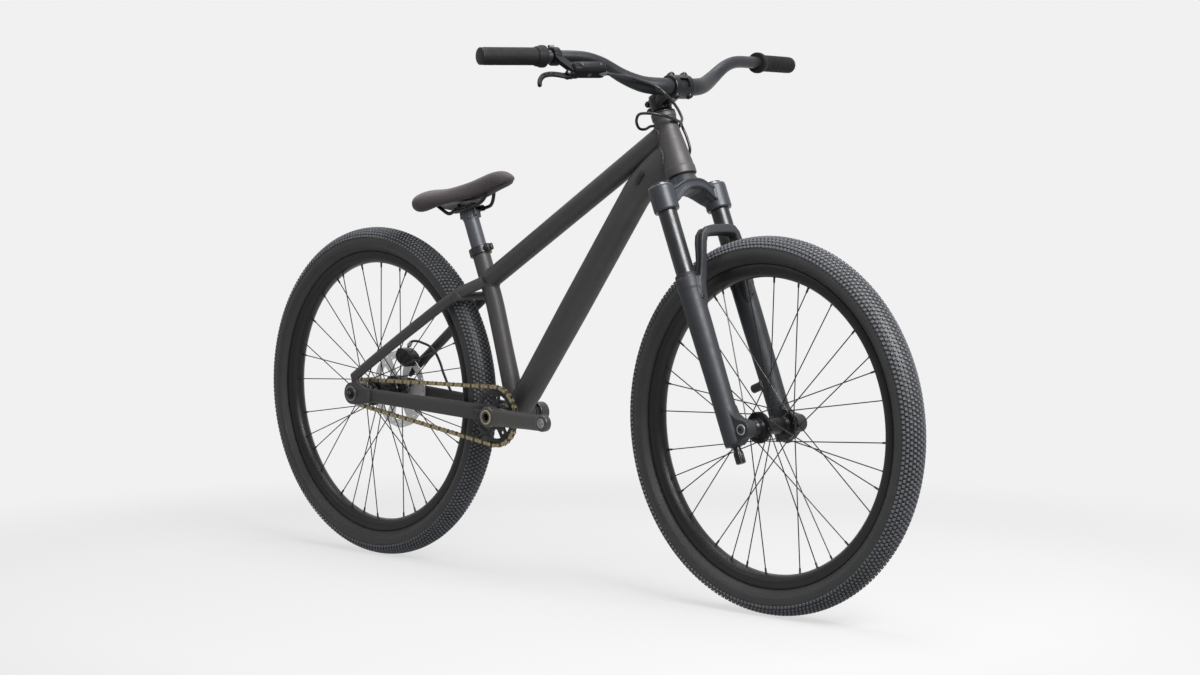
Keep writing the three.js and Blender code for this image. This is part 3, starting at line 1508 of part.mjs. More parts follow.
function railPair() {
  const ends = [-1, 1].map((side) => railPath(side)[0]);
  const bow = swept(ends.map((at) => ({ at, wide: railRadius, tall: railRadius })),
    pitchWay, railSides);
  return join(rail(sideSign.right), rail(sideSign.left), bow);
}

// How wide the saddle is, and how high its top and its lower edge lie, along its length
const saddleWidthShares = [0.22, 0.27, 0.29, 0.33, 0.42, 0.58, 0.78, 0.93, 1, 0.97, 0.84];
const saddleTopShares = [0.78, 0.99, 1.0, 0.93, 0.84, 0.77, 0.73, 0.8, 0.9, 0.87, 0.7];
const saddleEdgeShares = [0.5, 0.4, 0.3, 0.15, 0.02, -0.1, -0.18, -0.2, -0.17, -0.08, 0.16];

function shareAt(shares, t) {
  const place = t * (shares.length - 1);
  const low = Math.min(Math.floor(place), shares.length - 2);
  return THREE.MathUtils.lerp(shares[low], shares[low + 1], place - low);
}

function saddleRing(t, inset) {
  const x = THREE.MathUtils.lerp(saddleNose, -saddleTail, t);
  const round = Math.sqrt(Math.max(1 - (2 * t - 1) ** padEndPower, padEndShare));
  const half = Math.max(saddleHalfWidth * shareAt(saddleWidthShares, t) * round - inset, inset);
  const top = saddleTop * shareAt(saddleTopShares, t);
  const edge = saddleTop * shareAt(saddleEdgeShares, t);
  const middle = (top + edge) / 2;
  const rise = ((top - edge) / 2) * round;
  return { x, half, top: middle + rise, edge: middle - rise };
}
const padEndShare = 0.12;
const padEndPower = 10;

// The pad: a crowned top, full sides drawn in toward the shell, and a shallow central channel
function saddlePad() {
  const rings = Array.from({ length: padRings }, (_, i) => {
    const t = (1 - Math.cos((Math.PI * i) / (padRings - 1))) / 2;
    const ring = saddleRing(t, 0);
    const height = ring.top - ring.edge;
    return Array.from({ length: padSides }, (_unused, j) => {
      const angle = (2 * Math.PI * (j + 1 / 2)) / padSides;
      const [c, s] = [Math.cos(angle), Math.sin(angle)];
      const drawn = s < 0 ? 1 + padDrawShare * s : 1;
      const y = ring.half * Math.sign(c) * Math.abs(c) ** padRoundShare * drawn;
      const hollow = s > 0 ? padChannelShare * height * Math.exp(-((y / channelWidth) ** 2)) : 0;
      const z = ring.edge + height * (1 / 2 + (Math.sign(s) * Math.abs(s) ** padRoundShare) / 2);
      return saddlePoint(ring.x, y, z - hollow);
    });
  });
  return cut(loft(rings), shellRoom(), railRoom());
}
const padDrawShare = 0.1;
const padRoundShare = 0.75;
const padChannelShare = 0.07;
const channelWidth = 12;

// The hollow under the pad in which the shell sits
function shellRoom() {
  const rings = shellShares.map((t) => {
    const ring = saddleRing(t, shellThickness);
    const half = ring.half * shellWidthShare;
    const high = THREE.MathUtils.lerp(ring.edge, ring.top, shellRiseShare);
    const low = ring.edge - overrun;
    return [[half, low], [half, high], [-half, high], [-half, low]]
      .map(([y, z]) => saddlePoint(ring.x, y, z));
  });
  return loft(rings);
}
const shellShares = [0.05, 0.25, 0.45, 0.7, 0.92];
const shellWidthShare = 0.86;
const shellRiseShare = 0.35;

function saddleShell() {
  const rings = shellShares.map((t, i) => {
    const ring = saddleRing(t, shellThickness);
    const half = ring.half * shellWidthShare - gap * 2;
    const high = THREE.MathUtils.lerp(ring.edge, ring.top, shellRiseShare) - gap * 2;
    const low = high - shellThickness;
    const end = i ? 0 : -gap * 2;
    const x = ring.x + (i === shellShares.length - 1 ? gap * 2 : end);
    return [[half, low], [half, high], [-half, high], [-half, low]]
      .map(([y, z]) => saddlePoint(x, y, z));
  });
  return cut(loft(rings), railRoom());
}

function railRoom() {
  const grown = railRadius + gap;
  const tubes = [-1, 1].map((side) =>
    swept(railPath(side).map((at) => ({ at, wide: grown, tall: grown })), yAxis, railSides));
  const ends = [-1, 1].map((side) => railPath(side)[0]);
  const bow = swept(ends.map((at) => ({ at, wide: grown, tall: grown })), pitchWay, railSides);
  return join(tubes[0], tubes[1], bow);
}

function seatClamp() {
  const ring = turned([
    [boreFor(seatTubeRadius, headSegments), -clampHeight], [clampRadius, -clampHeight],
    [clampRadius, gap], [boreFor(seatTubeRadius, headSegments), gap],
  ], seatTopFrame, headSegments);
  const reach = clampRadius + clampEarReach;
  const ears = block(-clampEarHalfWidth, clampEarHalfWidth, -reach, 0,
    gap * 2 - clampHeight, 0, seatTopFrame);
  const slit = block(-clampSlit / 2, clampSlit / 2, -reach - overrun, 0,
    -clampHeight - overrun, overrun, seatTopFrame);
  const bore = cylinder(boreFor(seatTubeRadius, headSegments), -clampHeight - overrun, overrun,
    seatTopFrame, headSegments);
  return cut(join(ring, ears), slit, bore);
}

function seatTubeBored() {
  const bore = cylinder(boreFor(postTubeRadius, headSegments), -seatBoreDepth, overrun,
    seatTopFrame, headSegments);
  return cut(seatTube(0), bore, shell(gap), topTube(gap), downTube(gap));
}

// Rear brake
function caliperFrame() {
  const angle = rad(caliperAngleDeg);
  const outward = vec(Math.cos(angle), 0, Math.sin(angle));
  return frameAt(along(rearAxle, outward, caliperRadius), yAxis, outward);
}

function caliper() {
  const frame = caliperFrame();
  const [l, h] = [caliperHalfLength, caliperHalfHeight];
  const outline = caliperOutlineShares.map(([outward, across]) => [h * outward, l * across]);
  const body = prism(outline, caliperInside, caliperOutside, frame);
  const middle = rotorOffset + rotorThickness / 2;
  const slot = block(-h - overrun, h * rotorBiteShare, -l - overrun, l + overrun,
    middle - caliperSlot / 2, middle + caliperSlot / 2, frame);
  return cut(body, slot, seatstay(1, gap), chainstay(1, gap), hoseRoom());
}
const rotorBiteShare = 0.85;
const caliperOutlineShares = [
  [-1, -0.7], [-1, 0.7], [-0.5, 1], [1, 0.8], [1.2, 0], [1, -0.8], [-0.5, -1],
];

function brakePad(side) {
  const middle = rotorOffset + rotorThickness / 2;
  const face = rotorThickness / 2 + padTravel;
  const [from, to] = side > 0
    ? [middle + face, middle + face + padThickness - padTravel]
    : [middle - face - padThickness + padTravel, middle - face];
  return block(-padHeight, padHeight * rotorBiteShare, -padLength / 2, padLength / 2,
    from, to, caliperFrame());
}

// Hoses, whose routes are chosen by hand
const frontRunRoute = [
  [309, -184.6, 957], [313.5, -163, 954], [312, -138, 952.5], [309, -118, 950], [315, -92, 943.5],
  [323, -70, 935],
  [336, -60, 921.5], [333, -34, 904], [311, 5, 886], [280, 40, 874], [267, 41, 860],
  [255, 26, 861], [245, 0, 866], [249, -24, 860], [252, -42, 862], [258, -55, 874.5],
  [269, -60, 886], [292, -58, 888], [306, -40, 885], [308, -15, 879], [301, 16, 871.5],
  [288, 34, 864], [295, 39, 843.8], [301, 40, 819.4], [285, 41, 800], [264, 37, 788],
  [247, 28, 781],
];
const rearRunRoute = [
  [-500, 48, 424], [-490.5, 49, 435], [-473.8, 50, 437], [-456.7, 50.5, 434],
  [-439.7, 51, 429.5], [-426.6, 51, 423], [-417.1, 51, 414.3], [-403, 51, 393.2],
  [-396.7, 51, 379], [-388.3, 51.5, 363.5], [-379.8, 52, 348], [-370, 53, 334],
];

function hose(route, grow = 0) {
  const curve = new THREE.CatmullRomCurve3(route.map(([x, y, z]) => vec(x, y, z)));
  const steps = Math.round(curve.getLength() / (2 * hoseRadius * hoseStepDiameters));
  const section = arc(0, 0, hoseRadius + grow, 0, 360 - 360 / hoseSides, hoseSides - 1);
  const geometry = new THREE.ExtrudeGeometry(outlineOf(section), {
    steps, bevelEnabled: false, extrudePath: curve,
  });
  return toSolid(geometry);
}

function hoseRoom() {
  return hose(rearRunRoute, gap);
}

// The whole bike
const group = new THREE.Group();
const frameSolids = {
  head: headTube(gap),
  seat: seatTube(gap),
  top: topTube(gap),
  shell: shell(gap),
};

function addFrame() {
  group.add(
    piece('head_tube', headTubeBored(), look.frame()),
    piece('top_tube', cut(topTube(0), frameSolids.head, frameSolids.seat), look.frame()),
    piece('down_tube', cut(downTube(0), frameSolids.head, frameSolids.top, frameSolids.shell),
      look.frame()),
    piece('seat_tube', seatTubeBored(), look.frame()),
    piece('bottom_bracket_shell', cut(shell(0), cylinder(shellBore, -overrun * 3, overrun * 3,
      crankFrame, headSegments)), look.frame()),
    piece('upper_headset_bearing', bearing(upperBearingRadius, steererRadius,
      headTop - upperBearingHeight + gap, headTop), look.steel()),
    piece('lower_headset_bearing', bearing(lowerBearingRadius, steererFootRadius,
      headTubeLower, headTubeLower + lowerBearingHeight - gap), look.steel()),
    piece('seat_clamp', seatClamp(), look.black()),
  );
  for (const [name, side] of Object.entries(sideSign)) {
    const dropoutRoom = dropout(side, gap);
    const stay = cut(chainstay(side, 0), frameSolids.shell, dropoutRoom, downTube(gap),
      frameSolids.seat);
    const upper = cut(seatstay(side, 0), frameSolids.seat, frameSolids.top, dropoutRoom);
    group.add(piece(`${name}_chainstay`, stay, look.frame()));
    group.add(piece(`${name}_seatstay`, upper, look.frame()));
    group.add(piece(`${name}_dropout`, dropoutSlotted(side), look.frame()));
    group.add(piece(`${name}_bottom_bracket_cup`, cup(side), look.black()));
  }
  group.add(piece('seatstay_bridge', cut(stayBridge(), seatstay(1, gap), seatstay(-1, gap)),
    look.frame()));
}

function addDrive() {
  group.add(
    piece('crank_spindle', spindle(), look.steel()),
    piece('right_crank_arm', rightArm(), look.crank()),
    piece('left_crank_arm', crankArm(sideSign.left), look.crank()),
    piece('chainring', chainring(), look.black()),
    piece('chain', chain(), look.brass()),
    piece('cog_driver', cog(), look.black()),
  );
}

function addWheels() {
  for (const [name, frame] of [['front', frontFrame], ['rear', rearFrame]]) {
    group.add(
      piece(`${name}_tyre`, tyre(frame), look.rubber()),
      piece(`${name}_rim`, rim(frame), look.black()),
      piece(`${name}_hub_with_spokes`, name === 'front' ? frontHub() : rearHub(), look.black()),
    );
  }
  group.add(
    piece('rear_axle', rearAxleSolid(), look.steel()),
    piece('rear_rotor', rotor(), look.steel()),
  );
}

function addFork() {
  group.add(
    piece('steerer_tube', steerer(), look.slate()),
    piece('fork_crown', crown(), look.slate()),
    piece('fork_lowers', lowers(), look.slate()),
    piece('front_axle', frontAxleSolid(), look.steel()),
    piece('rebound_knob', reboundKnob(), look.black()),
  );
  for (const [name, side] of Object.entries(sideSign)) {
    group.add(
      piece(`${name}_stanchion`, stanchion(side), look.gloss()),
      piece(`${name}_leg_cap`, legCap(side), look.slate()),
    );
  }
}

function addCockpit() {
  group.add(
    piece('headset_top_cover', headsetCap(), look.black()),
    piece('stem_body', stemBody(), look.black()),
    piece('stem_faceplate', stemFaceplate(), look.black()),
    piece('steerer_top_cap', topCap(), look.black()),
    piece('handlebar', handlebar(), look.slate()),
    piece('brake_lever_body', leverBody(), look.black()),
    piece('brake_lever_blade', leverBlade(), look.slate()),
    piece('brake_hose_front_run', hose(frontRunRoute), look.hose()),
  );
  for (const [name, side] of Object.entries(sideSign)) {
    group.add(piece(`${name}_grip`, grip(side), look.rubber()));
  }
}

function addSeat() {
  group.add(
    piece('seatpost', seatPostBored(), look.slate()),
    piece('rail_clamp_lower', railPlate(false), look.black()),
    piece('rail_clamp_upper', railPlate(true), look.black()),
    piece('saddle_rails', railPair(), look.black()),
    piece('saddle_shell', saddleShell(), look.black()),
    piece('saddle_pad', saddlePad(), look.fabric()),
  );
}

function addRearBrake() {
  group.add(
    piece('rear_caliper', caliper(), look.black()),
    piece('inner_brake_pad', brakePad(-1), look.steel()),
    piece('outer_brake_pad', brakePad(1), look.steel()),
    piece('brake_hose_rear_run', cut(hose(rearRunRoute), chainstay(1, gap)), look.hose()),
  );
}

addFrame();
addDrive();
addWheels();
addFork();
addCockpit();
addSeat();
addRearBrake();

export default group;
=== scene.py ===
"""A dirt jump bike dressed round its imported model. Shapes are worked out in millimetres."""
import math
from math import cos, pi, radians, sin

import bmesh
import bpy
from mathutils import Matrix, Vector
from mathutils.bvhtree import BVHTree
from mathutils.geometry import tessellate_polygon


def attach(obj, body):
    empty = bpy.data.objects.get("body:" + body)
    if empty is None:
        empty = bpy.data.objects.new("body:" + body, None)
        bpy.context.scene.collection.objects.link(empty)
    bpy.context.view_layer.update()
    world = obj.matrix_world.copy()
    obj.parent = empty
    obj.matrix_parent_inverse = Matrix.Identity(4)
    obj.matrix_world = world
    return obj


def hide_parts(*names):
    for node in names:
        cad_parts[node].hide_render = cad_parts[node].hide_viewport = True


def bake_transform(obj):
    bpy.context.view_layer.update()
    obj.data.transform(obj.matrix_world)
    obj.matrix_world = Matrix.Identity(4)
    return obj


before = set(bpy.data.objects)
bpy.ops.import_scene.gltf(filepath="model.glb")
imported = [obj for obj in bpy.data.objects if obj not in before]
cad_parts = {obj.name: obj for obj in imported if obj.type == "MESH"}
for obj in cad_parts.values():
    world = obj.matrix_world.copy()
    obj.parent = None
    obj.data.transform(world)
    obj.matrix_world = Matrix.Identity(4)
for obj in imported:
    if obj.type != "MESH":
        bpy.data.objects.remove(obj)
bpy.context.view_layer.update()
MM = 0.001
X, Y, Z = Vector((1, 0, 0)), Vector((0, 1, 0)), Vector((0, 0, 1))
SIDES = ((-1, "right"), (1, "left"))
BOTH = (-1, 1)


# Camera
CAMERA_AT = (3.5605669, -3.4437359, 0.8139844)
CAMERA_TURN = (0.786988513, 0.0697823184, -0.0069436383)
FOCAL_LENGTH, SENSOR_WIDTH = 78.33, 36


def add_camera():
    yaw, pitch, roll = CAMERA_TURN
    back = Vector((sin(yaw) * cos(pitch), -cos(yaw) * cos(pitch), sin(pitch)))
    right = (-back).cross(Z).normalized()
    up = right.cross(-back)
    across = right * cos(roll) + up * sin(roll)
    over = up * cos(roll) - right * sin(roll)
    data = bpy.data.cameras.new("camera")
    data.sensor_width = SENSOR_WIDTH
    data.lens = FOCAL_LENGTH
    data.clip_end = 100
    camera = bpy.data.objects.new("camera", data)
    bpy.context.scene.collection.objects.link(camera)
    turn = Matrix((across, over, back)).transposed().to_4x4()
    camera.matrix_world = Matrix.Translation(CAMERA_AT) @ turn
    bpy.context.scene.camera = camera


add_camera()


# Frames and vectors, in millimetres
def mm(x, y, z):
    return Vector((x, y, z))


def polar(radius, turn):
    return radius * cos(turn), radius * sin(turn)


def frame_at(origin, z_way, x_hint):
    z = Vector(z_way).normalized()
    y = z.cross(x_hint).normalized()
    x = y.cross(z)
    made = Matrix((x, y, z)).transposed().to_4x4()
    made.translation = origin
    return made


def lerp(a, b, share):
    return a + (b - a) * share


def eased(t, start, end):
    share = min(max((t - start) / (end - start), 0.0), 1.0)
    return share * share * (3 - 2 * share)


def bulge(value, exponent):
    return math.copysign(abs(value) ** exponent, value)


def hermite(a, b, slope_a, slope_b, t):
    return (a * (2 * t ** 3 - 3 * t * t + 1) + slope_a * (t ** 3 - 2 * t * t + t)
            + b * (3 * t * t - 2 * t ** 3) + slope_b * (t ** 3 - t * t))


TYRE_RADIUS = 335.5
REAR = mm(-531.65, 0, TYRE_RADIUS)
FRONT = mm(531.65, 0, TYRE_RADIUS)
HEAD_ANGLE = radians(68.2)
FORK_OFFSET = 36
STEER_UP = Vector((-cos(HEAD_ANGLE), 0, sin(HEAD_ANGLE)))
STEER_FORWARD = Vector((sin(HEAD_ANGLE), 0, cos(HEAD_ANGLE)))
STEER_ORIGIN = FRONT - STEER_FORWARD * FORK_OFFSET
STEER = frame_at(STEER_ORIGIN, STEER_UP, STEER_FORWARD)
CRANK_AXLE = mm(-130.21, 0, 313.1)
CHAIN_WAY = (CRANK_AXLE - REAR).normalized()
CRANK = frame_at(CRANK_AXLE, Y, CHAIN_WAY)
COG = frame_at(REAR, Y, CHAIN_WAY)


def steer(forward, side, up):
    return STEER @ mm(forward, side, up)


# Shapes: lists of corners and faces
class Shape:
    def __init__(self):
        self.corners = []
        self.faces = []

    def add(self, corners, faces):
        start = len(self.corners)
        self.corners += [Vector(c) for c in corners]
        self.faces += [tuple(start + i for i in face) for face in faces]
        return self

    def join(self, *others):
        for other in others:
            self.add(other.corners, other.faces)
        return self


def rings_shape(rings, endless=False):
    sides = len(rings[0])
    faces = []
    for i in range(len(rings) if endless else len(rings) - 1):
        here, after = i * sides, ((i + 1) % len(rings)) * sides
        for j in range(sides):
            k = (j + 1) % sides
            faces.append((here + j, here + k, after + k, after + j))
    if not endless:
        end = (len(rings) - 1) * sides
        faces.append(tuple(range(sides))[::-1])
        faces.append(tuple(range(end, end + sides)))
    return Shape().add([c for ring in rings for c in ring], faces)


def rounded(profile, radius, steps=3, most=0.45):
    """Rounds the corners of a profile of [radius, height] pairs, apart from its ends."""
    points = [Vector(p) for p in profile]
    made = [points[0]]
    for before, here, after in zip(points, points[1:], points[2:]):
        reach_in = min(radius, (before - here).length * most)
        reach_out = min(radius, (after - here).length * most)
        start = here + (before - here).normalized() * reach_in
        end = here + (after - here).normalized() * reach_out
        for i in range(steps + 1):
            t = i / steps
            made.append(start * (1 - t) ** 2 + here * (2 * t * (1 - t)) + end * t * t)
    made.append(points[-1])
    return [tuple(p) for p in made]


def lathe(profile, place, segments=64, ring=False):
    """Turns a profile about the frame's Z. A ring's profile closes on itself."""
    spins = [polar(1, 2 * pi * j / segments) for j in range(segments)]
    rings = [[place @ mm(r * c, r * s, h) for c, s in spins] for r, h in profile]
    return rings_shape(rings, endless=ring)


def hoop(profile, place, segments=64):
    return lathe(profile, place, segments, ring=True)


def rod(stations, place, segments=64, edge=0.0):
    """A solid rod through [radius, height] stations, its corners rounded by edge."""
    if edge:
        stations = rounded(stations, edge)
    tiny = 0.01
    return lathe([(tiny, stations[0][1]), *stations, (tiny, stations[-1][1])], place, segments)


def swept(stations, side, sides=48, power=2.0):
    """Rounded sections through stations of (point, wide, tall), wide along the given side."""
    rings = []
    for i, (at, wide, tall) in enumerate(stations):
        ahead = stations[min(i + 1, len(stations) - 1)][0] - stations[max(i - 1, 0)][0]
        ahead.normalize()
        up = ahead.cross(side).normalized()
        across = up.cross(ahead)
        ring = []
        for j in range(sides):
            c, s = polar(1, 2 * pi * (j + 0.5) / sides)
            ring.append(at + across * (bulge(c, 2 / power) * wide)
                        + up * (bulge(s, 2 / power) * tall))
        rings.append(ring)
    return rings_shape(rings)


def spline(points, per=8, tension=None):
    """A smooth line through points: centripetal, or even with a tension."""
    points = [Vector(p) for p in points]
    line = [points[0] * 2 - points[1], *points, points[-1] * 2 - points[-2]]
    made = []
    for a, b, c, d in zip(line, line[1:], line[2:], line[3:]):
        if tension is None:
            ta, tb, tc = (max((q - p).length ** 0.5, 1e-6) for p, q in ((a, b), (b, c), (c, d)))
            m1 = ((b - a) / ta - (c - a) / (ta + tb) + (c - b) / tb) * tb
            m2 = ((c - b) / tb - (d - b) / (tb + tc) + (d - c) / tc) * tb
        else:
            m1, m2 = (c - a) * tension, (d - b) * tension
        made += [hermite(b, c, m1, m2, i / per) for i in range(per)]
    made.append(points[-1])
    return made


def pipe(points, radius, sides=16, closed=False):
    """A tube along a line, its section carried along without twist."""
    rings = []
    count = len(points)
    up = None
    for i, at in enumerate(points):
        if closed:
            ahead = (points[(i + 1) % count] - points[i - 1]).normalized()
        else:
            ahead = (points[min(i + 1, count - 1)] - points[max(i - 1, 0)]).normalized()
        if up is None:
            up = ahead.cross(X if abs(ahead.x) < 0.7 else Y).normalized()
        up = (up - ahead * up.dot(ahead)).normalized()
        across = ahead.cross(up)
        here = radius(i) if callable(radius) else radius
        spins = [polar(here, 2 * pi * j / sides) for j in range(sides)]
        rings.append([at + across * a + up * b for a, b in spins])
    return rings_shape(rings, endless=closed)


def arc(centre_x, centre_y, radius, from_deg, to_deg, steps):
    made = []
    for i in range(steps + 1):
        x, y = polar(radius, radians(lerp(from_deg, to_deg, i / steps)))
        made.append((centre_x + x, centre_y + y))
    return made


def full(centre_x, centre_y, radius, steps):
    return arc(centre_x, centre_y, radius, 0, 360 - 360 / steps, steps - 1)


def prism(outline, low, high, place, holes=()):
    """An outline in the frame's XY plane, with holes, between two heights."""
    loops = [list(outline), *[list(hole) for hole in holes]]
    flat = [point for loop in loops for point in loop]
    count = len(flat)
    corners = [place @ mm(x, y, height) for height in (low, high) for x, y in flat]
    faces = []
    for tri in tessellate_polygon([[mm(x, y, 0) for x, y in loop] for loop in loops]):
        faces.append(tuple(tri))
        faces.append(tuple(count + i for i in reversed(tri)))
    start = 0
    for loop in loops:
        size = len(loop)
        for j in range(size):
            a, b = start + j, start + (j + 1) % size
            faces.append((a, b, count + b, count + a))
        start += size
    return Shape().add(corners, faces)


def block(low, high, place):
    (x0, y0, z0), (x1, y1, z1) = low, high
    return prism([(x0, y0), (x1, y0), (x1, y1), (x0, y1)], z0, z1, place)


# From shapes to pieces
BEVEL_ANGLE = radians(35)
RIPPLE_POINTS, RIPPLE_DEPTH = 7, 0.16


def to_object(name, shape):
    data = bpy.data.meshes.new(name)
    data.from_pydata([c * MM for c in shape.corners], [], shape.faces)
    data.validate()
    made = bpy.data.objects.new(name, data)
    bpy.context.scene.collection.objects.link(made)
    work = bmesh.new()
    work.from_mesh(data)
    bmesh.ops.recalc_face_normals(work, faces=work.faces)
    work.to_mesh(data)
    work.free()
    return made


def modify(made, kind, **settings):
    change = made.modifiers.new(kind.lower(), kind)
    for key, value in settings.items():
        setattr(change, key, value)


def apply_all(made):
    """Replaces an object's mesh with what its modifiers make of it."""
    bpy.context.view_layer.update()
    seen = made.evaluated_get(bpy.context.evaluated_depsgraph_get())
    fresh = bpy.data.meshes.new_from_object(seen)
    made.modifiers.clear()
    made.data = fresh


def piece(name, shape, look, body, slot=None, replaces=(), sharp=32, cast=0.0, soften=3,
          bevel=0.0, cuts=()):
    """A finished piece: cast pieces are merged into one rounded skin of the given grain."""
    made = to_object(name, shape)
    if cast:
        modify(made, "REMESH", mode="VOXEL", voxel_size=cast * MM)
        modify(made, "SMOOTH", factor=0.5, iterations=soften)
        apply_all(made)
    if bevel:
        modify(made, "BEVEL", width=bevel * MM, segments=2, limit_method="ANGLE",
               angle_limit=BEVEL_ANGLE)
        apply_all(made)
    for hole in cuts:
        tool = to_object("cutter", hole)
        modify(made, "BOOLEAN", operation="DIFFERENCE", object=tool)
        apply_all(made)
        bpy.data.objects.remove(tool)
    made.data.shade_smooth()
    if not cast or cuts:
        made.data.set_sharp_from_angle(angle=radians(sharp))
    made.data.materials.clear()
    made.data.materials.append(look)
    if body:
        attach(made, body)
    if replaces:
        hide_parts(*replaces)
    return made


def detail(name, shape, look, body, *rest, **more):
    """A small turned or milled piece with crisp edges."""
    return piece(name, shape, look, body, *rest, sharp=25, **more)


def bolt(centre, way, radius, height):
    """A socket head bolt whose head stands on centre and points along way."""
    hint = X if abs(Vector(way).normalized().x) < 0.7 else Y
    well = radius * 0.5
    profile = [(0.01, height * 0.35), (well, height * 0.35), (well, height),
               (radius * 0.86, height), (radius, height * 0.84), (radius, 0), (0.01, 0)]
    return lathe(profile, frame_at(centre, way, hint), 24)


def weld(start, way, wide, tall, target, power=2.0, bead=2.1, ripples=34):
    """A rippled bead where a tube that runs along way meets the target."""
    tree = BVHTree.FromPolygons([tuple(c) for c in target.corners], target.faces)
    way = Vector(way).normalized()
    up = way.cross(Y).normalized()
    across = up.cross(way)
    count = ripples * RIPPLE_POINTS
    line = []
    for i in range(count):
        c, s = polar(1, 2 * pi * i / count)
        reach = across * (bulge(c, 2 / power) * wide) + up * (bulge(s, 2 / power) * tall)
        hit = tree.ray_cast(start + reach, way)[0]
        if hit is not None:
            line.append(hit)
    if len(line) < count // 2:
        return Shape()
    wave = 2 * pi / RIPPLE_POINTS
    return pipe(line, lambda i: bead * (1 + RIPPLE_DEPTH * sin(i * wave)), 10,
                len(line) == count)


# Materials
BARE_METAL = (0.34, 0.34, 0.35, 1)
WHITE = (1, 1, 1, 1)


def scaled(color, share):
    return tuple(c * share for c in color)


class Nodes:
    """Adds nodes to a material or a world: sockets are linked, other values are set."""
    def __init__(self, owner, shader="Principled BSDF", coordinates="Object"):
        owner.use_nodes = True
        self.owner = owner
        self.nodes, self.links = owner.node_tree.nodes, owner.node_tree.links
        self.shader = self.nodes[shader]
        self.place = self.nodes.new("ShaderNodeTexCoord").outputs[coordinates]

    def feed(self, node, values):
        for key, value in values.items():
            if isinstance(value, bpy.types.NodeSocket):
                self.links.new(value, node.inputs[key])
            else:
                node.inputs[key].default_value = value

    def node(self, kind, output, values, **settings):
        made = self.nodes.new("ShaderNode" + kind)
        for key, value in settings.items():
            setattr(made, key, value)
        self.feed(made, values)
        return made.outputs[output]

    def noise(self, scale, fine=3.0, rough=0.5, stretch=None):
        place = self.place
        if stretch:
            place = self.node("Mapping", "Vector", {"Scale": stretch, "Vector": place})
        return self.node("TexNoise", "Fac", {"Scale": scale, "Detail": fine, "Roughness": rough,
                                             "Vector": place})

    def ramped(self, value, low, high, start=0.35, end=0.65, **settings):
        return self.node("MapRange", "Result", {"From Min": start, "From Max": end, "To Min": low,
                                                "To Max": high, "Value": value}, **settings)

    def tinted(self, value, dark, light, start=0.3, end=0.7):
        made = self.nodes.new("ShaderNodeValToRGB")
        for stop, at, color in zip(made.color_ramp.elements, (start, end), (dark, light)):
            stop.position = at
            stop.color = (*color, 1)
        self.feed(made, {"Fac": value})
        return made.outputs["Color"]

    def summed(self, a, b, operation="ADD"):
        return self.node("Math", "Value", {0: a, 1: b}, operation=operation)

    def finish(self, height, strength, distance, values):
        """Feeds the shader, with a bump of the given height, and returns the material."""
        normal = self.node("Bump", "Normal", {"Strength": strength, "Distance": distance,
                                              "Height": height})
        self.feed(self.shader, {**values, "Normal": normal})
        return self.owner


def satin(name, color, rough, metal, bump=0.05, coat=0.0, wear=0.0, shine=0.5):
    """Painted or anodised metal: slow cloudiness, fine grain and a little edge wear."""
    look = Nodes(bpy.data.materials.new(name))
    tone = look.tinted(look.noise(14.0, 4.0), scaled(color, 0.94), scaled(color, 1.06))
    if wear:
        edge = look.nodes.new("ShaderNodeNewGeometry").outputs["Pointiness"]
        share = look.ramped(edge, 0.0, wear, 0.53, 0.62)
        tone = look.node("Mix", 2, {0: share, 6: tone, 7: BARE_METAL}, data_type="RGBA")
    fine, smear = look.noise(900.0, 2.0, 0.6), look.noise(55.0, 5.0)
    roughness = look.summed(look.ramped(fine, -0.03, 0.03),
                            look.ramped(smear, rough - 0.04, rough + 0.05))
    return look.finish(fine, bump, 0.0002, {
        "Base Color": tone, "Roughness": roughness, "Metallic": metal,
        "Specular IOR Level": shine, "Coat Weight": coat, "Coat Roughness": 0.25})


def brushed(name, color, rough):
    look = Nodes(bpy.data.materials.new(name))
    streak = look.noise(240.0, 4.0, 0.65, (1, 1, 40))
    return look.finish(streak, 0.12, 0.0002, {
        "Base Color": look.tinted(streak, scaled(color, 0.78), color),
        "Roughness": look.ramped(streak, rough - 0.07, rough + 0.1), "Metallic": 1.0})


def rubber(name, color, rough, shine, grain=500.0, bump=0.3):
    look = Nodes(bpy.data.materials.new(name))
    dusty = tuple(c * 1.12 + 0.0024 for c in color)
    fine = look.noise(grain, 5.0, 0.65)
    return look.finish(fine, bump, 0.0003, {
        "Base Color": look.tinted(look.noise(26.0, 6.0, 0.6), color, dusty, 0.4, 0.75),
        "Roughness": look.ramped(fine, rough - 0.06, rough + 0.06), "Specular IOR Level": shine})


def woven(name, color, pitch=0.0011):
    """A fine plain weave in the cover of the saddle, with soft fuzz."""
    look = Nodes(bpy.data.materials.new(name))
    waves = [look.node("TexWave", "Fac", {"Scale": pi / (10 * pitch), "Distortion": 0.6,
                                          "Detail": 1.0, "Vector": look.place},
                       wave_type="BANDS", bands_direction=axis) for axis in ("X", "Y")]
    fuzz = look.ramped(look.noise(700.0, 4.0, 0.7), -0.25, 0.25, 0.3, 0.7)
    threads = look.summed(look.summed(*waves, operation="MULTIPLY"), fuzz)
    tone = look.tinted(look.noise(22.0, 4.0), scaled(color, 0.88), scaled(color, 1.1))
    shade = look.tinted(threads, (0.72, 0.72, 0.72), (1.1, 1.1, 1.1), 0.0, 0.9)
    return look.finish(threads, 0.35, 0.0003, {
        "Base Color": look.node("Mix", 2, {0: 1.0, 6: tone, 7: shade}, data_type="RGBA",
                                blend_type="MULTIPLY"),
        "Roughness": 0.88, "Specular IOR Level": 0.2, "Sheen Weight": 0.12,
        "Sheen Roughness": 0.5})


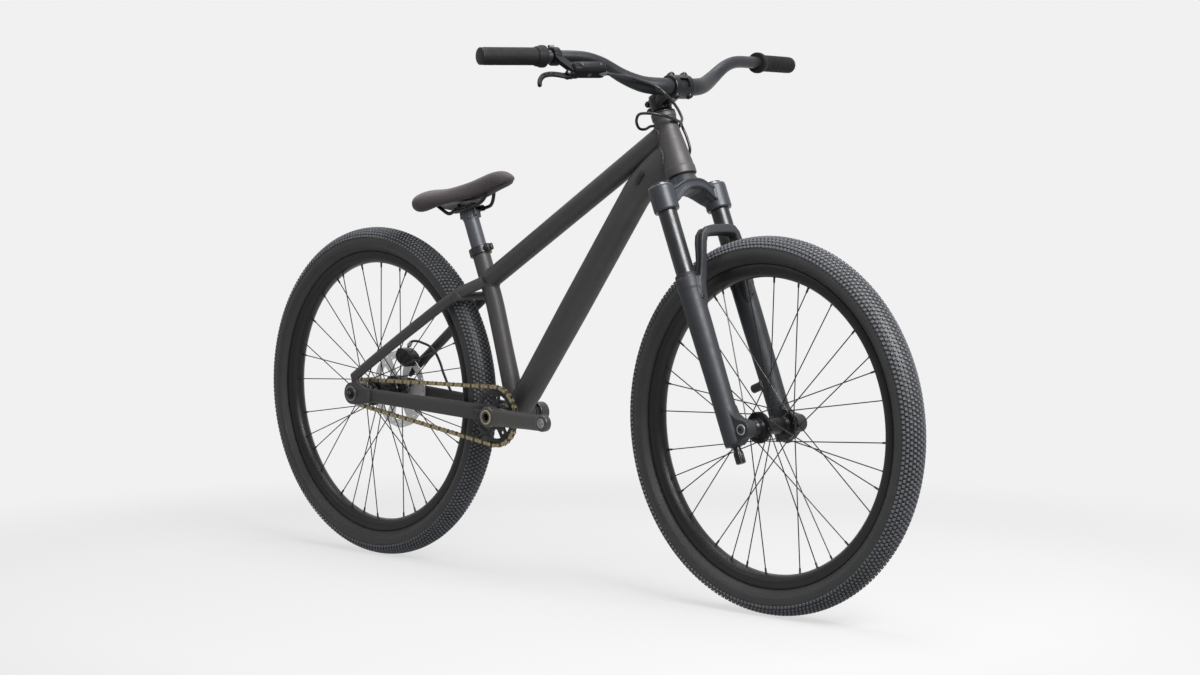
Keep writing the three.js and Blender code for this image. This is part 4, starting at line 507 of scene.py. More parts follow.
PAINT = satin("charcoal_paint", (0.033, 0.0308, 0.0312), 0.56, 0.3, coat=0.04, shine=0.45)
SLATE = satin("slate_paint", (0.0225, 0.025, 0.03), 0.46, 0.3, coat=0.08, shine=0.32)
BAR_ALLOY = satin("bar_alloy", (0.014, 0.0152, 0.018), 0.4, 0.45, shine=0.32)
# Lever body, blade, lid and clamp ears: black darker than the black anodised parts, painted shade
# on the lever's faces
LEVER_PAINTED_SHADE = satin("lever_black", (0.0036, 0.0038, 0.0046), 0.4, 0.0, wear=0.05, shine=0.1)
# Lower legs: a darker, warmer copy of the slate paint, painted shade at the bottom of the fork
LEG_PAINTED_SHADE = satin("leg_paint", (0.0185, 0.0198, 0.0228), 0.54, 0.25, coat=0.03, shine=0.28)
POST_ALLOY = satin("post_alloy", (0.05, 0.053, 0.063), 0.52, 0.35, coat=0.05, shine=0.4)
BLACK = satin("black_anodised", (0.0085, 0.0088, 0.0098), 0.32, 0.5, wear=0.1)
RIM_BLACK = satin("rim_black", (0.011, 0.011, 0.0115), 0.38, 0.3, shine=0.3)
CRANK_ALLOY = satin("crank_alloy", (0.058, 0.056, 0.055), 0.36, 0.6, wear=0.12)
GLOSS = satin("gloss_black", (0.0165, 0.017, 0.0187), 0.33, 0.45, bump=0.01)
SPOKE_BLACK = satin("spoke_black", (0.02, 0.02, 0.021), 0.3, 0.7)
STEEL = brushed("bright_steel", (0.4, 0.41, 0.43), 0.34)
DARK_STEEL = brushed("dark_steel", (0.08, 0.08, 0.085), 0.38)
ROTOR_STEEL = brushed("rotor_steel", (0.74, 0.74, 0.74), 0.5)
LIP = brushed("machined_edge", (0.2, 0.205, 0.215), 0.32)
BRASS = brushed("gold_plating", (0.5, 0.41, 0.24), 0.32)
CHAIN_GOLD = brushed("chain_plating", (0.31, 0.262, 0.165), 0.36)
# Inner plates: a dark copy of the chain plating, painted shade between the outer plates
CHAIN_PAINTED_SHADE = brushed("chain_inside", (0.12, 0.1, 0.07), 0.45)
TYRE_RUBBER = rubber("tyre_rubber", (0.0185, 0.0187, 0.0196), 0.48, 0.3)
# Knobs: a lighter copy of the tyre rubber, a painted highlight on the knob tops
TREAD_PAINTED_HIGHLIGHT = rubber("tread_rubber", (0.06, 0.0626, 0.07), 0.6, 0.3)
GRIP_RUBBER = rubber("grip_rubber", (0.0045, 0.0045, 0.005), 0.6, 0.12)
HOSE_SKIN = rubber("hose_jacket", (0.007, 0.007, 0.0075), 0.36, 0.35, 1500.0, 0.08)
SHELL_PLASTIC = rubber("moulded_plastic", (0.006, 0.006, 0.0063), 0.55, 0.25)
COVER = woven("saddle_cover", (0.051, 0.0425, 0.0465))


# Wheels
TYRE_CENTRE = 304.6
CARCASS_OUT, CARCASS_ASIDE = 27.9, 28.5
KNOB_FOOT_OUT, KNOB_FOOT_ASIDE = 26.4, 27.6
KNOBS_ROUND = 232
KNOB_ROWS = [  # angle from the crown, length round the tyre, width, height
    (0, 5.0, 6.0, 2.6), (12.5, 4.6, 6.0, 2.6), (25, 5.0, 6.0, 2.6),
    (37.5, 4.6, 5.8, 2.5), (50, 5.6, 5.6, 2.3), (63, 5.8, 5.6, 1.9),
]
KNOB_ROOT = 1.6
KNOB_SWELL = 1.28
KNOB_TAPER = 0.84
RIM_SECTION = [
    (262.6, 0), (262.8, 5), (264.2, 8.8), (269, 15.2), (272, 16.7), (284.6, 17), (285.9, 16.3),
    (285.9, 14.9), (284.8, 14.6), (279, 14.3), (277.9, 12.2), (277, 8), (275.5, 0),
]
SPOKES, SPOKE_LEAD = 16, 2.9
NIPPLE_RADIUS = 264
ROUND_SIDES = 160
FRONT_HUB = [
    (12.5, -54.7), (12.5, -50), (15, -47), (16, -40), (17, -36), (28, -35.6), (28, -30.4),
    (17.5, -30), (15.2, -24), (14.6, 0), (15.2, 24), (17.5, 30), (28, 30.4), (28, 35.6), (22, 36),
    (22, 41), (15, 41.4), (12.5, 43), (12.5, 54.7),
]
REAR_HUB = [
    (10.5, -70.7), (10.5, -30), (18, -30), (18.5, -24), (29, -23.6), (29, -18.4), (19.5, -18),
    (17.5, -12), (17, 8), (18, 27), (20, 31), (29, 31.4), (29, 36.6), (22, 37), (22, 49.7),
    (11.5, 49.9), (11.5, 70.7),
]


def tyre_section():
    half = [(280.5, 10.5), (283, 12.2), (286.6, 14.3), (290.5, 19.5), (296, 25)]
    for step in range(10):
        angle = radians(lerp(-12, 90, step / 9))
        half.append((TYRE_CENTRE + CARCASS_OUT * sin(angle), CARCASS_ASIDE * cos(angle)))
    return half + [(r, -y) for r, y in half[-2::-1]]


def knobs(place):
    shape = Shape()
    faces = [(k, (k + 1) % 4, 4 + (k + 1) % 4, 4 + k) for k in range(4)]
    faces += [(4, 5, 6, 7), (3, 2, 1, 0)]
    for row, (lean, length, width, height) in enumerate(KNOB_ROWS):
        for side in ([1] if lean == 0 else [1, -1]):
            c, s = polar(1, radians(lean) * side)
            for i in range(KNOBS_ROUND):
                turn = 2 * pi * (i + (row % 2) / 2) / KNOBS_ROUND
                radial = mm(*polar(1, turn), 0)
                tangent = mm(-sin(turn), cos(turn), 0)
                out = radial * c + Z * s
                across = radial * -s + Z * c
                foot = radial * (TYRE_CENTRE + KNOB_FOOT_OUT * c) + Z * (KNOB_FOOT_ASIDE * s)
                base, top = [], []
                for k in range(4):
                    a, b = polar(1, radians(45 + 90 * k))
                    a, b = a * length / 2 * KNOB_SWELL, b * width / 2 * KNOB_SWELL
                    base.append(place @ (foot + tangent * a + across * b))
                    top.append(place @ (foot + out * (height + KNOB_ROOT)
                                        + tangent * a * KNOB_TAPER + across * b * KNOB_TAPER))
                shape.add(base + top, faces)
    return shape


def spokes_and_nipples(right, left, flange, place):
    wires, nipples, heads = Shape(), Shape(), Shape()
    step = 2 * pi / SPOKES
    for sign, offset in ((-1, right), (1, left)):
        for i in range(SPOKES):
            lead = 1 if i % 2 == 0 else -1
            hub = i * step + (step / 2 if sign > 0 else 0)
            rim = hub + lead * SPOKE_LEAD * step
            start = mm(*polar(flange - 3, hub), sign * (offset + lead * 1.5))
            end = mm(*polar(NIPPLE_RADIUS, rim), sign * (4 + lead * 1.2))
            way = (end - start).normalized()
            wire = [(1.05, 0), (1.05, (end - start).length - 6)]
            wires.join(rod(wire, place @ frame_at(start, way, Z), 10))
            nipples.join(rod([(2.3, -3), (2.3, 2), (1.9, 3), (1.9, 9.5), (1.2, 11.5)],
                             place @ frame_at(end, -way, Z), 12))
            elbow = place @ frame_at(start - Z * (sign * lead * 0.4), Z * (sign * lead), X)
            heads.join(rod([(1.1, -1.0), (1.1, 1.5), (2.1, 1.6), (2.1, 2.3), (1.2, 2.8)],
                           elbow, 12))
    return wires, nipples, heads


def add_wheel(end, centre, right, left, flange, hub, turned):
    place = frame_at(centre, Y, X)
    body = f"{end}_wheel"
    carcass = hoop(tyre_section(), place, ROUND_SIDES)
    piece(f"{end}_tyre_body", carcass, TYRE_RUBBER, body, "tyre", [f"{end}_tyre"], sharp=50)
    # the knobs take the lighter rubber: painted highlight on their tops
    detail(f"{end}_tyre_knobs", knobs(place), TREAD_PAINTED_HIGHLIGHT, body, "tyre")
    lines = Shape()
    for radius, side in ((288.4, 16.6), (296.6, 25.4)):
        for sign in (1, -1):
            ring = [place @ mm(*polar(radius, 2 * pi * i / ROUND_SIDES), sign * side)
                    for i in range(ROUND_SIDES)]
            lines.join(pipe(ring, 0.7, 8, closed=True))
    piece(f"{end}_tyre_rings", lines, TYRE_RUBBER, body, "tyre")
    rim = RIM_SECTION + [(r, -y) for r, y in RIM_SECTION[-2:0:-1]]
    piece(f"{end}_rim_shell", hoop(rim, place, ROUND_SIDES), RIM_BLACK, body, "black_alloy",
          [f"{end}_rim"], sharp=40)
    wires, nipples, heads = spokes_and_nipples(right, left, flange, place)
    piece(f"{end}_hub_shell", rod(hub, place, 72, 0.8), BLACK, body, "black_alloy",
          [f"{end}_hub_with_spokes"])
    piece(f"{end}_spokes", wires, SPOKE_BLACK, body)
    piece(f"{end}_nipples", nipples, BLACK, body)
    piece(f"{end}_spoke_heads", heads, DARK_STEEL, body)
    radial = mm(*polar(1, radians(turned)), 0)
    own = place @ frame_at(radial * NIPPLE_RADIUS, -radial, Z)
    stem = rod([(3, -6), (3, 3), (2.4, 3.4), (2.4, 26), (1.6, 26.5), (1.6, 30)], own, 16)
    stem.join(rod([(4.6, -1.5), (4.6, 0.6), (3.8, 2.2), (2.6, 2.4)], own, 20))
    piece(f"{end}_valve_stem", stem, DARK_STEEL, body)
    cap = rod([(2.9, 20), (3.3, 20.5), (3.3, 31), (2.2, 33.5)], own, 16)
    piece(f"{end}_valve_cap", cap, BLACK, body)


ROTOR_RADIUS, ROTOR_WAVE, ROTOR_WAVES = 79.2, 0.75, 12
ROTOR_INNER, ROTOR_OUTER = 50, 51.8


def add_rotor():
    place = frame_at(REAR, Y, X)
    holes = [full(0, 0, 11.8, 32)]
    for start in range(0, 360, 60):
        holes.append(arc(0, 0, 63.5, start + 8, start + 45, 8)
                     + arc(0, 0, 29, start + 50, start + 18, 5))
    for i in range(36):
        holes.append(full(*polar(68.3 if i % 2 else 74.6, radians(10 * i)), 2.1, 10))
    turns = [2 * pi * i / 144 for i in range(144)]
    rim = [polar(ROTOR_RADIUS + ROTOR_WAVE * cos(ROTOR_WAVES * turn), turn) for turn in turns]
    disc = prism(rim, ROTOR_INNER, ROTOR_OUTER, place, holes)
    piece("rear_rotor_disc", disc, ROTOR_STEEL, "rear_wheel", "steel", ["rear_rotor"])
    lock = [(11.9, 51.9), (11.9, 54), (17.5, 54), (18.5, 53), (18.5, 51.9)]
    detail("rear_rotor_lockring", hoop(lock, place, 48), BLACK, "rear_wheel")
    screws = Shape()
    for i in range(6):
        centre = place @ mm(*polar(23.3, radians(60 * i + 4)), 51.85)
        screws.join(bolt(centre, Y, 3.2, 1.9))
    piece("rear_rotor_screws", screws, DARK_STEEL, "rear_wheel")


add_wheel("front", FRONT, 33, 33, 28, FRONT_HUB, -134)
add_wheel("rear", REAR, 21, 34, 29, REAR_HUB, 4)
add_rotor()

# Chain drive
PITCH, LINKS, RING_TEETH, COG_TEETH = 12.7, 84, 28, 13
DISTANCE = 402.0643
CHAIN_LINE = 50
TOOTH_LOW, TOOTH_HIGH = -51.1, -48.9
TOOTH_SEAT, TOOTH_TIP = 4.0, 3.2
PLATE_END, PLATE_WAIST = 4.1, 3.1
CRANK_LENGTH = 165


def pitch_radius(teeth):
    return PITCH / (2 * sin(pi / teeth))


RING_R, COG_R = pitch_radius(RING_TEETH), pitch_radius(COG_TEETH)
LEAN = math.asin((RING_R - COG_R) / DISTANCE)
RUN = DISTANCE * cos(LEAN)
RING_ARC = RING_R * (pi + 2 * LEAN)
COG_ARC = COG_R * (pi - 2 * LEAN)
LOOP = RING_ARC + COG_ARC + 2 * RUN


def chain_point(travelled):
    s = travelled % LOOP
    if s < RING_ARC:
        return polar(RING_R, -pi / 2 - LEAN + s / RING_R)
    if s < RING_ARC + RUN:
        t, (x, y) = s - RING_ARC, polar(RING_R, pi / 2 + LEAN)
        return x - cos(LEAN) * t, y - sin(LEAN) * t
    if s < RING_ARC + RUN + COG_ARC:
        x, y = polar(COG_R, pi / 2 + LEAN + (s - RING_ARC - RUN) / COG_R)
        return -DISTANCE + x, y
    t, (x, y) = s - RING_ARC - RUN - COG_ARC, polar(COG_R, -pi / 2 - LEAN)
    return -DISTANCE + x + cos(LEAN) * t, y - sin(LEAN) * t


def walk_pins():
    travelled = RING_ARC / 2
    pins = [chain_point(travelled)]
    for _ in range(LINKS - 1):
        low, high = travelled + PITCH / 2, travelled + 2 * PITCH
        for _ in range(40):
            middle = (low + high) / 2
            if math.dist(chain_point(middle), pins[-1]) < PITCH:
                low = middle
            else:
                high = middle
        travelled = low
        pins.append(chain_point(travelled))
    return pins


PINS = walk_pins()


def link_plate(start, end, low, high):
    ahead = math.atan2(end[1] - start[1], end[0] - start[0])
    own = CRANK @ frame_at(mm(*start, 0), Z, mm(*polar(1, ahead), 0))
    outline = [*arc(0, 0, PLATE_END, 60, 300, 8), (PITCH / 2, -PLATE_WAIST),
               *arc(PITCH, 0, PLATE_END, -120, 120, 8), (PITCH / 2, PLATE_WAIST)]
    return prism(outline, low, high, own)


def add_chain():
    plates, inner, rollers = Shape(), Shape(), Shape()
    for i, start in enumerate(PINS):
        end = PINS[(i + 1) % LINKS]
        inside, outside = (1.65, 2.62) if i % 2 else (2.72, 3.7)
        for sign in (1, -1):
            low, high = sorted((-CHAIN_LINE + sign * inside, -CHAIN_LINE + sign * outside))
            (inner if i % 2 else plates).join(link_plate(start, end, low, high))
        own = CRANK @ frame_at(mm(*start, -CHAIN_LINE), Z, X)
        rollers.join(rod([(3.85, -1.6), (3.85, 1.6)], own, 16))
        rollers.join(rod([(1.5, -4.3), (1.9, -4.0), (1.9, 4.0), (1.5, 4.3)], own, 12))
    detail("chain_plates", plates, CHAIN_GOLD, "frame", "brass_chain", ["chain"])
    detail("chain_inner_plates", inner, CHAIN_PAINTED_SHADE, "frame", "brass_chain")
    detail("chain_rollers", rollers, BRASS, "frame", "brass_chain")


def toothed(teeth, phase, radius):
    outline = []
    step = 2 * pi / teeth
    for i in range(teeth):
        turn = phase + i * step
        seat = Vector(polar(radius, turn))
        for k in range(5):
            angle = turn + pi + radians(lerp(60, -60, k / 4))
            outline.append(tuple(seat + Vector(polar(1, angle)) * TOOTH_SEAT))
        outline += [polar(radius + TOOTH_TIP, turn + step * share) for share in (0.42, 0.58)]
    return outline


def add_drive():
    windows = [full(0, 0, 16, 32)]
    for middle in range(18, 378, 72):
        windows.append(arc(0, 0, 43, middle - 22, middle + 22, 10)
                       + arc(0, 0, 26, middle + 13, middle - 13, 6))
    for turn in range(54, 414, 72):
        windows.append(full(*polar(36, radians(turn)), 3.2, 16))
    ring = prism(toothed(RING_TEETH, 0, RING_R), TOOTH_LOW, TOOTH_HIGH, CRANK, windows)
    piece("chainring_disc", ring, BLACK, "crankset", "black_alloy", ["chainring"], bevel=0.25)
    first = min(PINS)
    phase = math.atan2(first[1], first[0] + DISTANCE)
    cog = prism(toothed(COG_TEETH, phase, COG_R), TOOTH_LOW, TOOTH_HIGH, COG)
    detail("cog_teeth", cog, STEEL, "driver")
    profile = [(14, -61), (16, -60.4), (16.5, -53.6), (18.4, -53.4), (18.4, -46.4),
               (16.5, -46.2), (16.5, -32)]
    piece("driver_body", rod(profile, COG, 48, 0.6), DARK_STEEL, "driver", "steel",
          ["cog_driver"])


ARM_STATIONS = [  # share of the arm's length, half its height, inner face, outer face
    (0.0, 18, 54.2, 75.6), (0.12, 18, 55.5, 75.8), (0.22, 17.3, 56.6, 76.4), (0.45, 16.3, 62, 80),
    (0.7, 15.6, 68, 83.6), (0.9, 15.5, 73, 86.4), (1.0, 15.5, 75.2, 87),
]


def crank_arm(side, name):
    """The right arm points forward, the left one back."""
    along = X * (-side * CRANK_LENGTH)
    boss = frame_at(CRANK_AXLE, Y * side, X)
    end = frame_at(CRANK_AXLE + along, Y * side, X)
    shape = rod([(17.6, 53.6), (20, 54), (20, 74.6), (18.2, 76)], boss, 72, 1.5)
    shape.join(rod([(14.2, 74.6), (16.2, 75.4), (16.2, 86.4), (14.7, 88)], end, 64, 1.5))
    stations = []
    for share, half, inside, outside in ARM_STATIONS:
        at = CRANK_AXLE + along * share + Y * (side * (inside + outside) / 2)
        stations.append((at, (outside - inside) / 2, half))
    shape.join(swept(stations, Y, 48, 3.4))
    cuts = (rod([(12.05, 40), (12.05, 90)], boss, 64), rod([(7.1, 60), (7.1, 100)], end, 48))
    piece(f"{name}_arm_forging", shape, CRANK_ALLOY, "crankset", "crank_alloy",
          [f"{name}_crank_arm"], cast=0.9, soften=4, cuts=cuts)
    for part, profile, place, sides, look in (
            ("pedal_thread", [(7.1, 87.2), (7.1, 88.3), (8.6, 88.3), (9.0, 87.9), (9.0, 87.2)],
             end, 40, STEEL),
            ("pedal_sleeve", [(7.1, 74.6), (7.1, 87.4), (7.6, 87.4), (7.6, 74.6)], end, 40, STEEL),
            ("spindle_ring", [(11.3, 75.5), (11.3, 77.1), (13.5, 77.1), (14.1, 76.5),
                              (14.1, 75.5)], boss, 56, BRASS),
            ("spindle_bore", [(7.2, 60), (7.2, 76.15), (11.5, 76.5), (11.5, 60)],
             boss, 48, BLACK)):
        detail(f"{name}_{part}", hoop(profile, place, sides), look, "crankset")


add_chain()
add_drive()
for arm_side, arm_name in SIDES:
    crank_arm(arm_side, arm_name)
mount = hoop([(12.3, -53.8), (17.5, -53.8), (17.5, -48.8), (12.3, -48.8)], CRANK, 56)
detail("chainring_mount", mount, BLACK, "crankset")

# Frame
SEAT_LOW_ANGLE, SEAT_ANGLE, DOWN_ANGLE = radians(73.8), radians(67.7), radians(52.4)
BEND_HEIGHT, SEAT_TUBE_RADIUS = 217, 17.6
SEAT_FOOT = CRANK_AXLE + X * 9
SEAT_BEND = SEAT_FOOT + mm(-BEND_HEIGHT / math.tan(SEAT_LOW_ANGLE), 0, BEND_HEIGHT)
SEAT_UP = Vector((-cos(SEAT_ANGLE), 0, sin(SEAT_ANGLE)))
SEAT_TOP = SEAT_BEND + SEAT_UP * 112
SEAT_LOW = (SEAT_BEND - SEAT_FOOT).normalized()
STAY_TOP = SEAT_TOP - SEAT_UP * 69
COLLAR = frame_at(SEAT_TOP, SEAT_UP, X)
DOWN_FOOT = CRANK_AXLE + X * 4.7
DOWN_WAY = mm(cos(DOWN_ANGLE), 0, sin(DOWN_ANGLE))
DOWN_HEAD, TOP_HEAD = steer(0, 0, 528), steer(0, 0, 574)


def curve_2(a, b, c, share):
    return a * (1 - share) ** 2 + b * (2 * share * (1 - share)) + c * share ** 2


def head_tube_shape():
    profile = [(16.8, 486.3), (27.6, 486.3), (29, 487.6), (29, 500.5), (28, 503.2), (23.6, 551),
               (21.5, 571.4), (21.5, 598.4), (22.8, 599.4), (22.8, 607), (22.0, 607.8),
               (16.8, 607.8)]
    return hoop(rounded(profile, 1.2) + [profile[0]], STEER, 96)


def down_tube_shape():
    stations = [(DOWN_FOOT + DOWN_WAY * distance, half, half)
                for distance, half in ((12, 21), (60, 24.7), (265, 26.5), (430, 26.5))]
    bend, turn = DOWN_FOOT + DOWN_WAY * 530, DOWN_FOOT + DOWN_WAY * 580
    for i in range(13):
        share = i / 12
        stations.append((curve_2(bend, turn, DOWN_HEAD, share), lerp(26.5, 24.5, share),
                         lerp(26.5, 34, share)))
    return swept(stations, Y, 64, 2.3)


def top_tube_shape():
    return swept([(TOP_HEAD.lerp(STAY_TOP, s), lerp(21, 19, s), lerp(21, 19, s))
                  for s in (0, 0.1, 0.25, 0.5, 0.75, 0.9, 1)], Y, 64)


def seat_tube_shape():
    before, after = SEAT_BEND - SEAT_LOW * 25, SEAT_BEND + SEAT_UP * 25
    line = [(SEAT_FOOT, 19.5), (SEAT_FOOT + SEAT_LOW * 70, 18.4),
            (SEAT_FOOT + SEAT_LOW * 130, SEAT_TUBE_RADIUS)]
    line += [(curve_2(before, SEAT_BEND, after, i / 8), SEAT_TUBE_RADIUS) for i in range(9)]
    line += [(SEAT_TOP, SEAT_TUBE_RADIUS)]
    return swept([(at, half, half) for at, half in line], Y, 64)


def chainstay_shape(side):
    shares = (0.04, 0.19, 0.45, 0.845, 0.955)
    points = []
    for share, aside in zip(shares, (0.3, 0.53, 0.68, 0.9, 0.965)):
        at = CRANK_AXLE.lerp(REAR, share)
        at.y = side * 71.6 * aside
        points.append(at)
    line = spline(points, 8)
    stations = []
    for i, at in enumerate(line):
        share = lerp(0, len(shares) - 1, i / (len(line) - 1))
        k = min(int(share), len(shares) - 2)
        s = lerp(shares[k], shares[k + 1], share - k)
        stations.append((at, lerp(7.2, 5.5, s), lerp(17, 13.3, s)))
    return swept(stations, Y, 48, 3)


def seatstay_points(side):
    back, up = STAY_TOP.x - REAR.x, STAY_TOP.z - REAR.z
    points = []
    for s, a, u in ((-0.01, 0.21, 1), (0.115, 0.53, 0.893), (0.394, 0.753, 0.61),
                    (0.691, 0.938, 0.292), (0.838, 0.985, 0.138)):
        points.append(mm(STAY_TOP.x - back * s * 1.18, side * 71 * a * 1.066, REAR.z + up * u))
    return points


def seatstay_shape(side):
    line = spline(seatstay_points(side), 8)
    stations = []
    for i, at in enumerate(line):
        s = i / (len(line) - 1) * 0.85
        stations.append((at, lerp(8.5, 6.6, s), lerp(11.5, 9.5, s)))
    return swept(stations, Y, 48)


def dropout_shape(place):
    outline = arc(0, 0, 22, 90, 270, 28)
    outline += [(20, -21.6), (36, -17.6), (52, -14), (52, 14), (36, 16.2), (22, 20.4),
                (16.4, 26.4), (15, 31), (14.2, 37), (0.6, 37), (-0.4, 30)]
    slot = arc(9, 0, 6.3, -90, 90, 12) + arc(-9, 0, 6.3, 90, 270, 12)
    return prism(outline, 71.1, 78, place, [slot])


def add_frame():
    shell = rod([(21.6, -36.5), (23.5, -35.2), (23.5, 35.2), (21.6, 36.5)], CRANK, 72, 0.8)
    shapes = {"head_tube": head_tube_shape(), "down_tube": down_tube_shape(),
              "top_tube": top_tube_shape(), "seat_tube": seat_tube_shape(),
              "bottom_bracket_shell": shell}
    bore = rod([(15.8, -165), (15.8, 20)], COLLAR, 64)

    def painted(name, shape, **more):
        piece(f"{name}_finish", shape, PAINT, "frame", "frame", [name], **more)

    for name, shape in shapes.items():
        painted(name, shape, cuts=[bore] if name == "top_tube" else ())
    for side, name in SIDES:
        axle = frame_at(REAR, Y * side, CHAIN_WAY)
        painted(f"{name}_chainstay", chainstay_shape(side))
        painted(f"{name}_seatstay", seatstay_shape(side), cuts=[bore])
        painted(f"{name}_dropout", dropout_shape(axle), bevel=1.1)
        add_axle_nut(axle, name)
        own = frame_at(CRANK_AXLE, Y * side, X)
        cup = rod([(19, 30), (22, 37), (22, 41.4), (20.6, 42.3), (13, 42.3)], own, 64, 0.5)
        piece(f"{name}_cup_flange", cup, BLACK, "frame", "black_alloy",
              [f"{name}_bottom_bracket_cup"])
        splines = Shape()
        for i in range(16):
            at = own @ mm(*polar(22, 2 * pi * i / 16), 38)
            splines.join(rod([(1.6, 0), (1.6, 3.2)], frame_at(at, Y * side, X), 12))
        detail(f"{name}_cup_splines", splines, BLACK, "frame")
    bridge_at = mm(lerp(STAY_TOP.x, REAR.x, 0.13), 0, lerp(REAR.z, STAY_TOP.z, 0.87))
    bridge = rod([(9, -52), (8.2, -30), (7.6, 0), (8.2, 30), (9, 52)],
                 frame_at(bridge_at, Y, X), 48)
    piece("bridge_finish", bridge, PAINT, "frame", "frame", ["seatstay_bridge"])
    add_welds(shapes)
    add_collar()
    add_ports()


def add_axle_nut(place, name):
    washer = rod([(15.6, 78.05), (15.6, 79.6), (13.4, 80.2)], place, 48, 0.3)
    detail(f"{name}_axle_washer", washer, LIP, "frame")
    nut = rod([(12.5, 79.6), (12.5, 81.8), (11.6, 82.3)], place, 48, 0.5)
    detail(f"{name}_axle_flange", nut, BLACK, "frame")
    six = prism(full(0, 0, 8.2, 6), 82, 88.2, place)
    detail(f"{name}_axle_hex", six, BLACK, "frame", bevel=0.8)
    end = rod([(5.2, 88), (5.2, 90.6), (4.4, 91.4)], place, 24, 0.4)
    detail(f"{name}_axle_end", end, DARK_STEEL, "frame")


def add_welds(shapes):
    head, shell = shapes["head_tube"], shapes["bottom_bracket_shell"]
    last = (DOWN_HEAD - (DOWN_FOOT + DOWN_WAY * 580)).normalized()
    top_way = (TOP_HEAD - STAY_TOP).normalized()
    beads = weld(DOWN_HEAD - last * 90, last, 24.5, 34, head, power=2.3)
    beads.join(weld(TOP_HEAD - top_way * 120, top_way, 21, 21, head),
               weld(STAY_TOP + top_way * 100, -top_way, 19, 19, shapes["seat_tube"], bead=1.8),
               weld(CRANK_AXLE + DOWN_WAY * 110, -DOWN_WAY, 25, 25, shell, 2.3, 2.0),
               weld(SEAT_FOOT + SEAT_LOW * 90, -SEAT_LOW, 19.2, 19.2, shell, bead=1.8))
    for side in BOTH:
        top, start = seatstay_points(side)[:2]
        beads.join(weld(start, top - start, 8.6, 11.4, shapes["seat_tube"], bead=1.5,
                        ripples=18))
    piece("weld_beads", beads, PAINT, "frame", sharp=60)


def add_collar():
    ring = hoop([(16.4, -14.6), (21.2, -14.6), (22, -13.8), (22, -0.6), (21.2, 0.2),
                 (16.4, 0.2)], COLLAR, 72)
    piece("collar_ring", ring, BLACK, "frame", "black_alloy", ["seat_clamp"])
    ears = block((18.5, -8, -14), (32, -1.3, -0.4), COLLAR)
    ears.join(block((18.5, 1.3, -14), (32, 8, -0.4), COLLAR))
    piece("collar_ears", ears, BLACK, "frame", bevel=2.2)
    turn = COLLAR.to_3x3()
    screw = frame_at(COLLAR @ mm(26.2, -8, -7.2), -(turn @ Y), turn @ Z)
    detail("collar_bolt", bolt(screw.translation, -Y, 4.2, 3.4), DARK_STEEL, "frame")
    detail("collar_shank", rod([(2.4, -16), (2.4, 1)], screw, 16), DARK_STEEL, "frame")


def add_ports():
    """An oval cover with its screw on the right of the down tube, and its twin on the left."""
    down = (DOWN_HEAD - DOWN_FOOT).normalized()
    oval = arc(9, 0, 6, -90, 90, 14) + arc(-9, 0, 6, 90, 270, 14)
    for side, name in SIDES:
        place = frame_at(mm(237, side * 25.2, 772), Y * side, down)
        piece(f"{name}_port_cover", prism(oval, -6, 1.8, place), BLACK, "frame", bevel=0.8)
        screw = bolt(place @ mm(-8 * side, 0, 1.7), Y * side, 2.6, 1.5)
        detail(f"{name}_port_screw", screw, DARK_STEEL, "frame")


add_frame()

# Fork
LEG_X = 5
TRACK = 69
FOOT_FACE = 79.4
POST_LEVELS = (86, 11.8)
KNOB_GROOVES = 9
CROWN_BEAM = [  # aside, level, half thickness, half depth
    (69, 443.5, 19.5, 17), (57, 444.5, 17.5, 17.5), (46, 449.5, 15.5, 19), (35, 456, 13, 21.5),
    (24, 461.5, 11, 24), (12, 464.5, 9.8, 25.4), (0, 465.2, 9.4, 25.8),
]
ARCH = [  # forward, aside, level, half thickness, half breadth
    (18, 60, 262, 8, 10), (22, 56.5, 280, 8, 9.6), (28, 53, 298, 7.4, 9), (33.4, 51, 314, 7, 8.8),
    (37.6, 49.4, 330, 7, 9.4), (41, 47, 346, 7, 10.4), (43, 43, 356.4, 7.4, 11),
    (45.2, 35.5, 363.4, 8.2, 11.4), (46.4, 20, 365.4, 8.4, 11.4),
]


def leg_frame(side):
    return STEER @ Matrix.Translation((LEG_X, side * TRACK, 0))


def post_frame(level):
    return frame_at(steer(LEG_X, 55.3, level), -STEER_FORWARD, STEER_UP)


def crown_shape():
    shape = Shape()
    for side in BOTH:
        shape.join(rod([(22.4, 419.6), (23.5, 420.8), (23.5, 462.6), (21.8, 465.6)],
                       leg_frame(side), 72, 1.6))
    shape.join(rod([(20, 455), (26, 457), (27.5, 461), (27.5, 473), (24, 485.4)], STEER, 72, 2.2))
    beam = [(-y, *rest) for y, *rest in CROWN_BEAM] + CROWN_BEAM[-2::-1]
    shape.join(swept([(steer(2.5, y, s), deep, tall) for y, s, tall, deep in beam],
                     STEER_FORWARD, 40, 4.2))
    for lift in (-0.72, 0.62):
        rib = [steer(2.5 + deep, y, s + tall * lift) for y, s, tall, deep in beam if abs(y) < 60]
        shape.join(pipe(spline(rib, 5), 2.6, 14))
    return shape


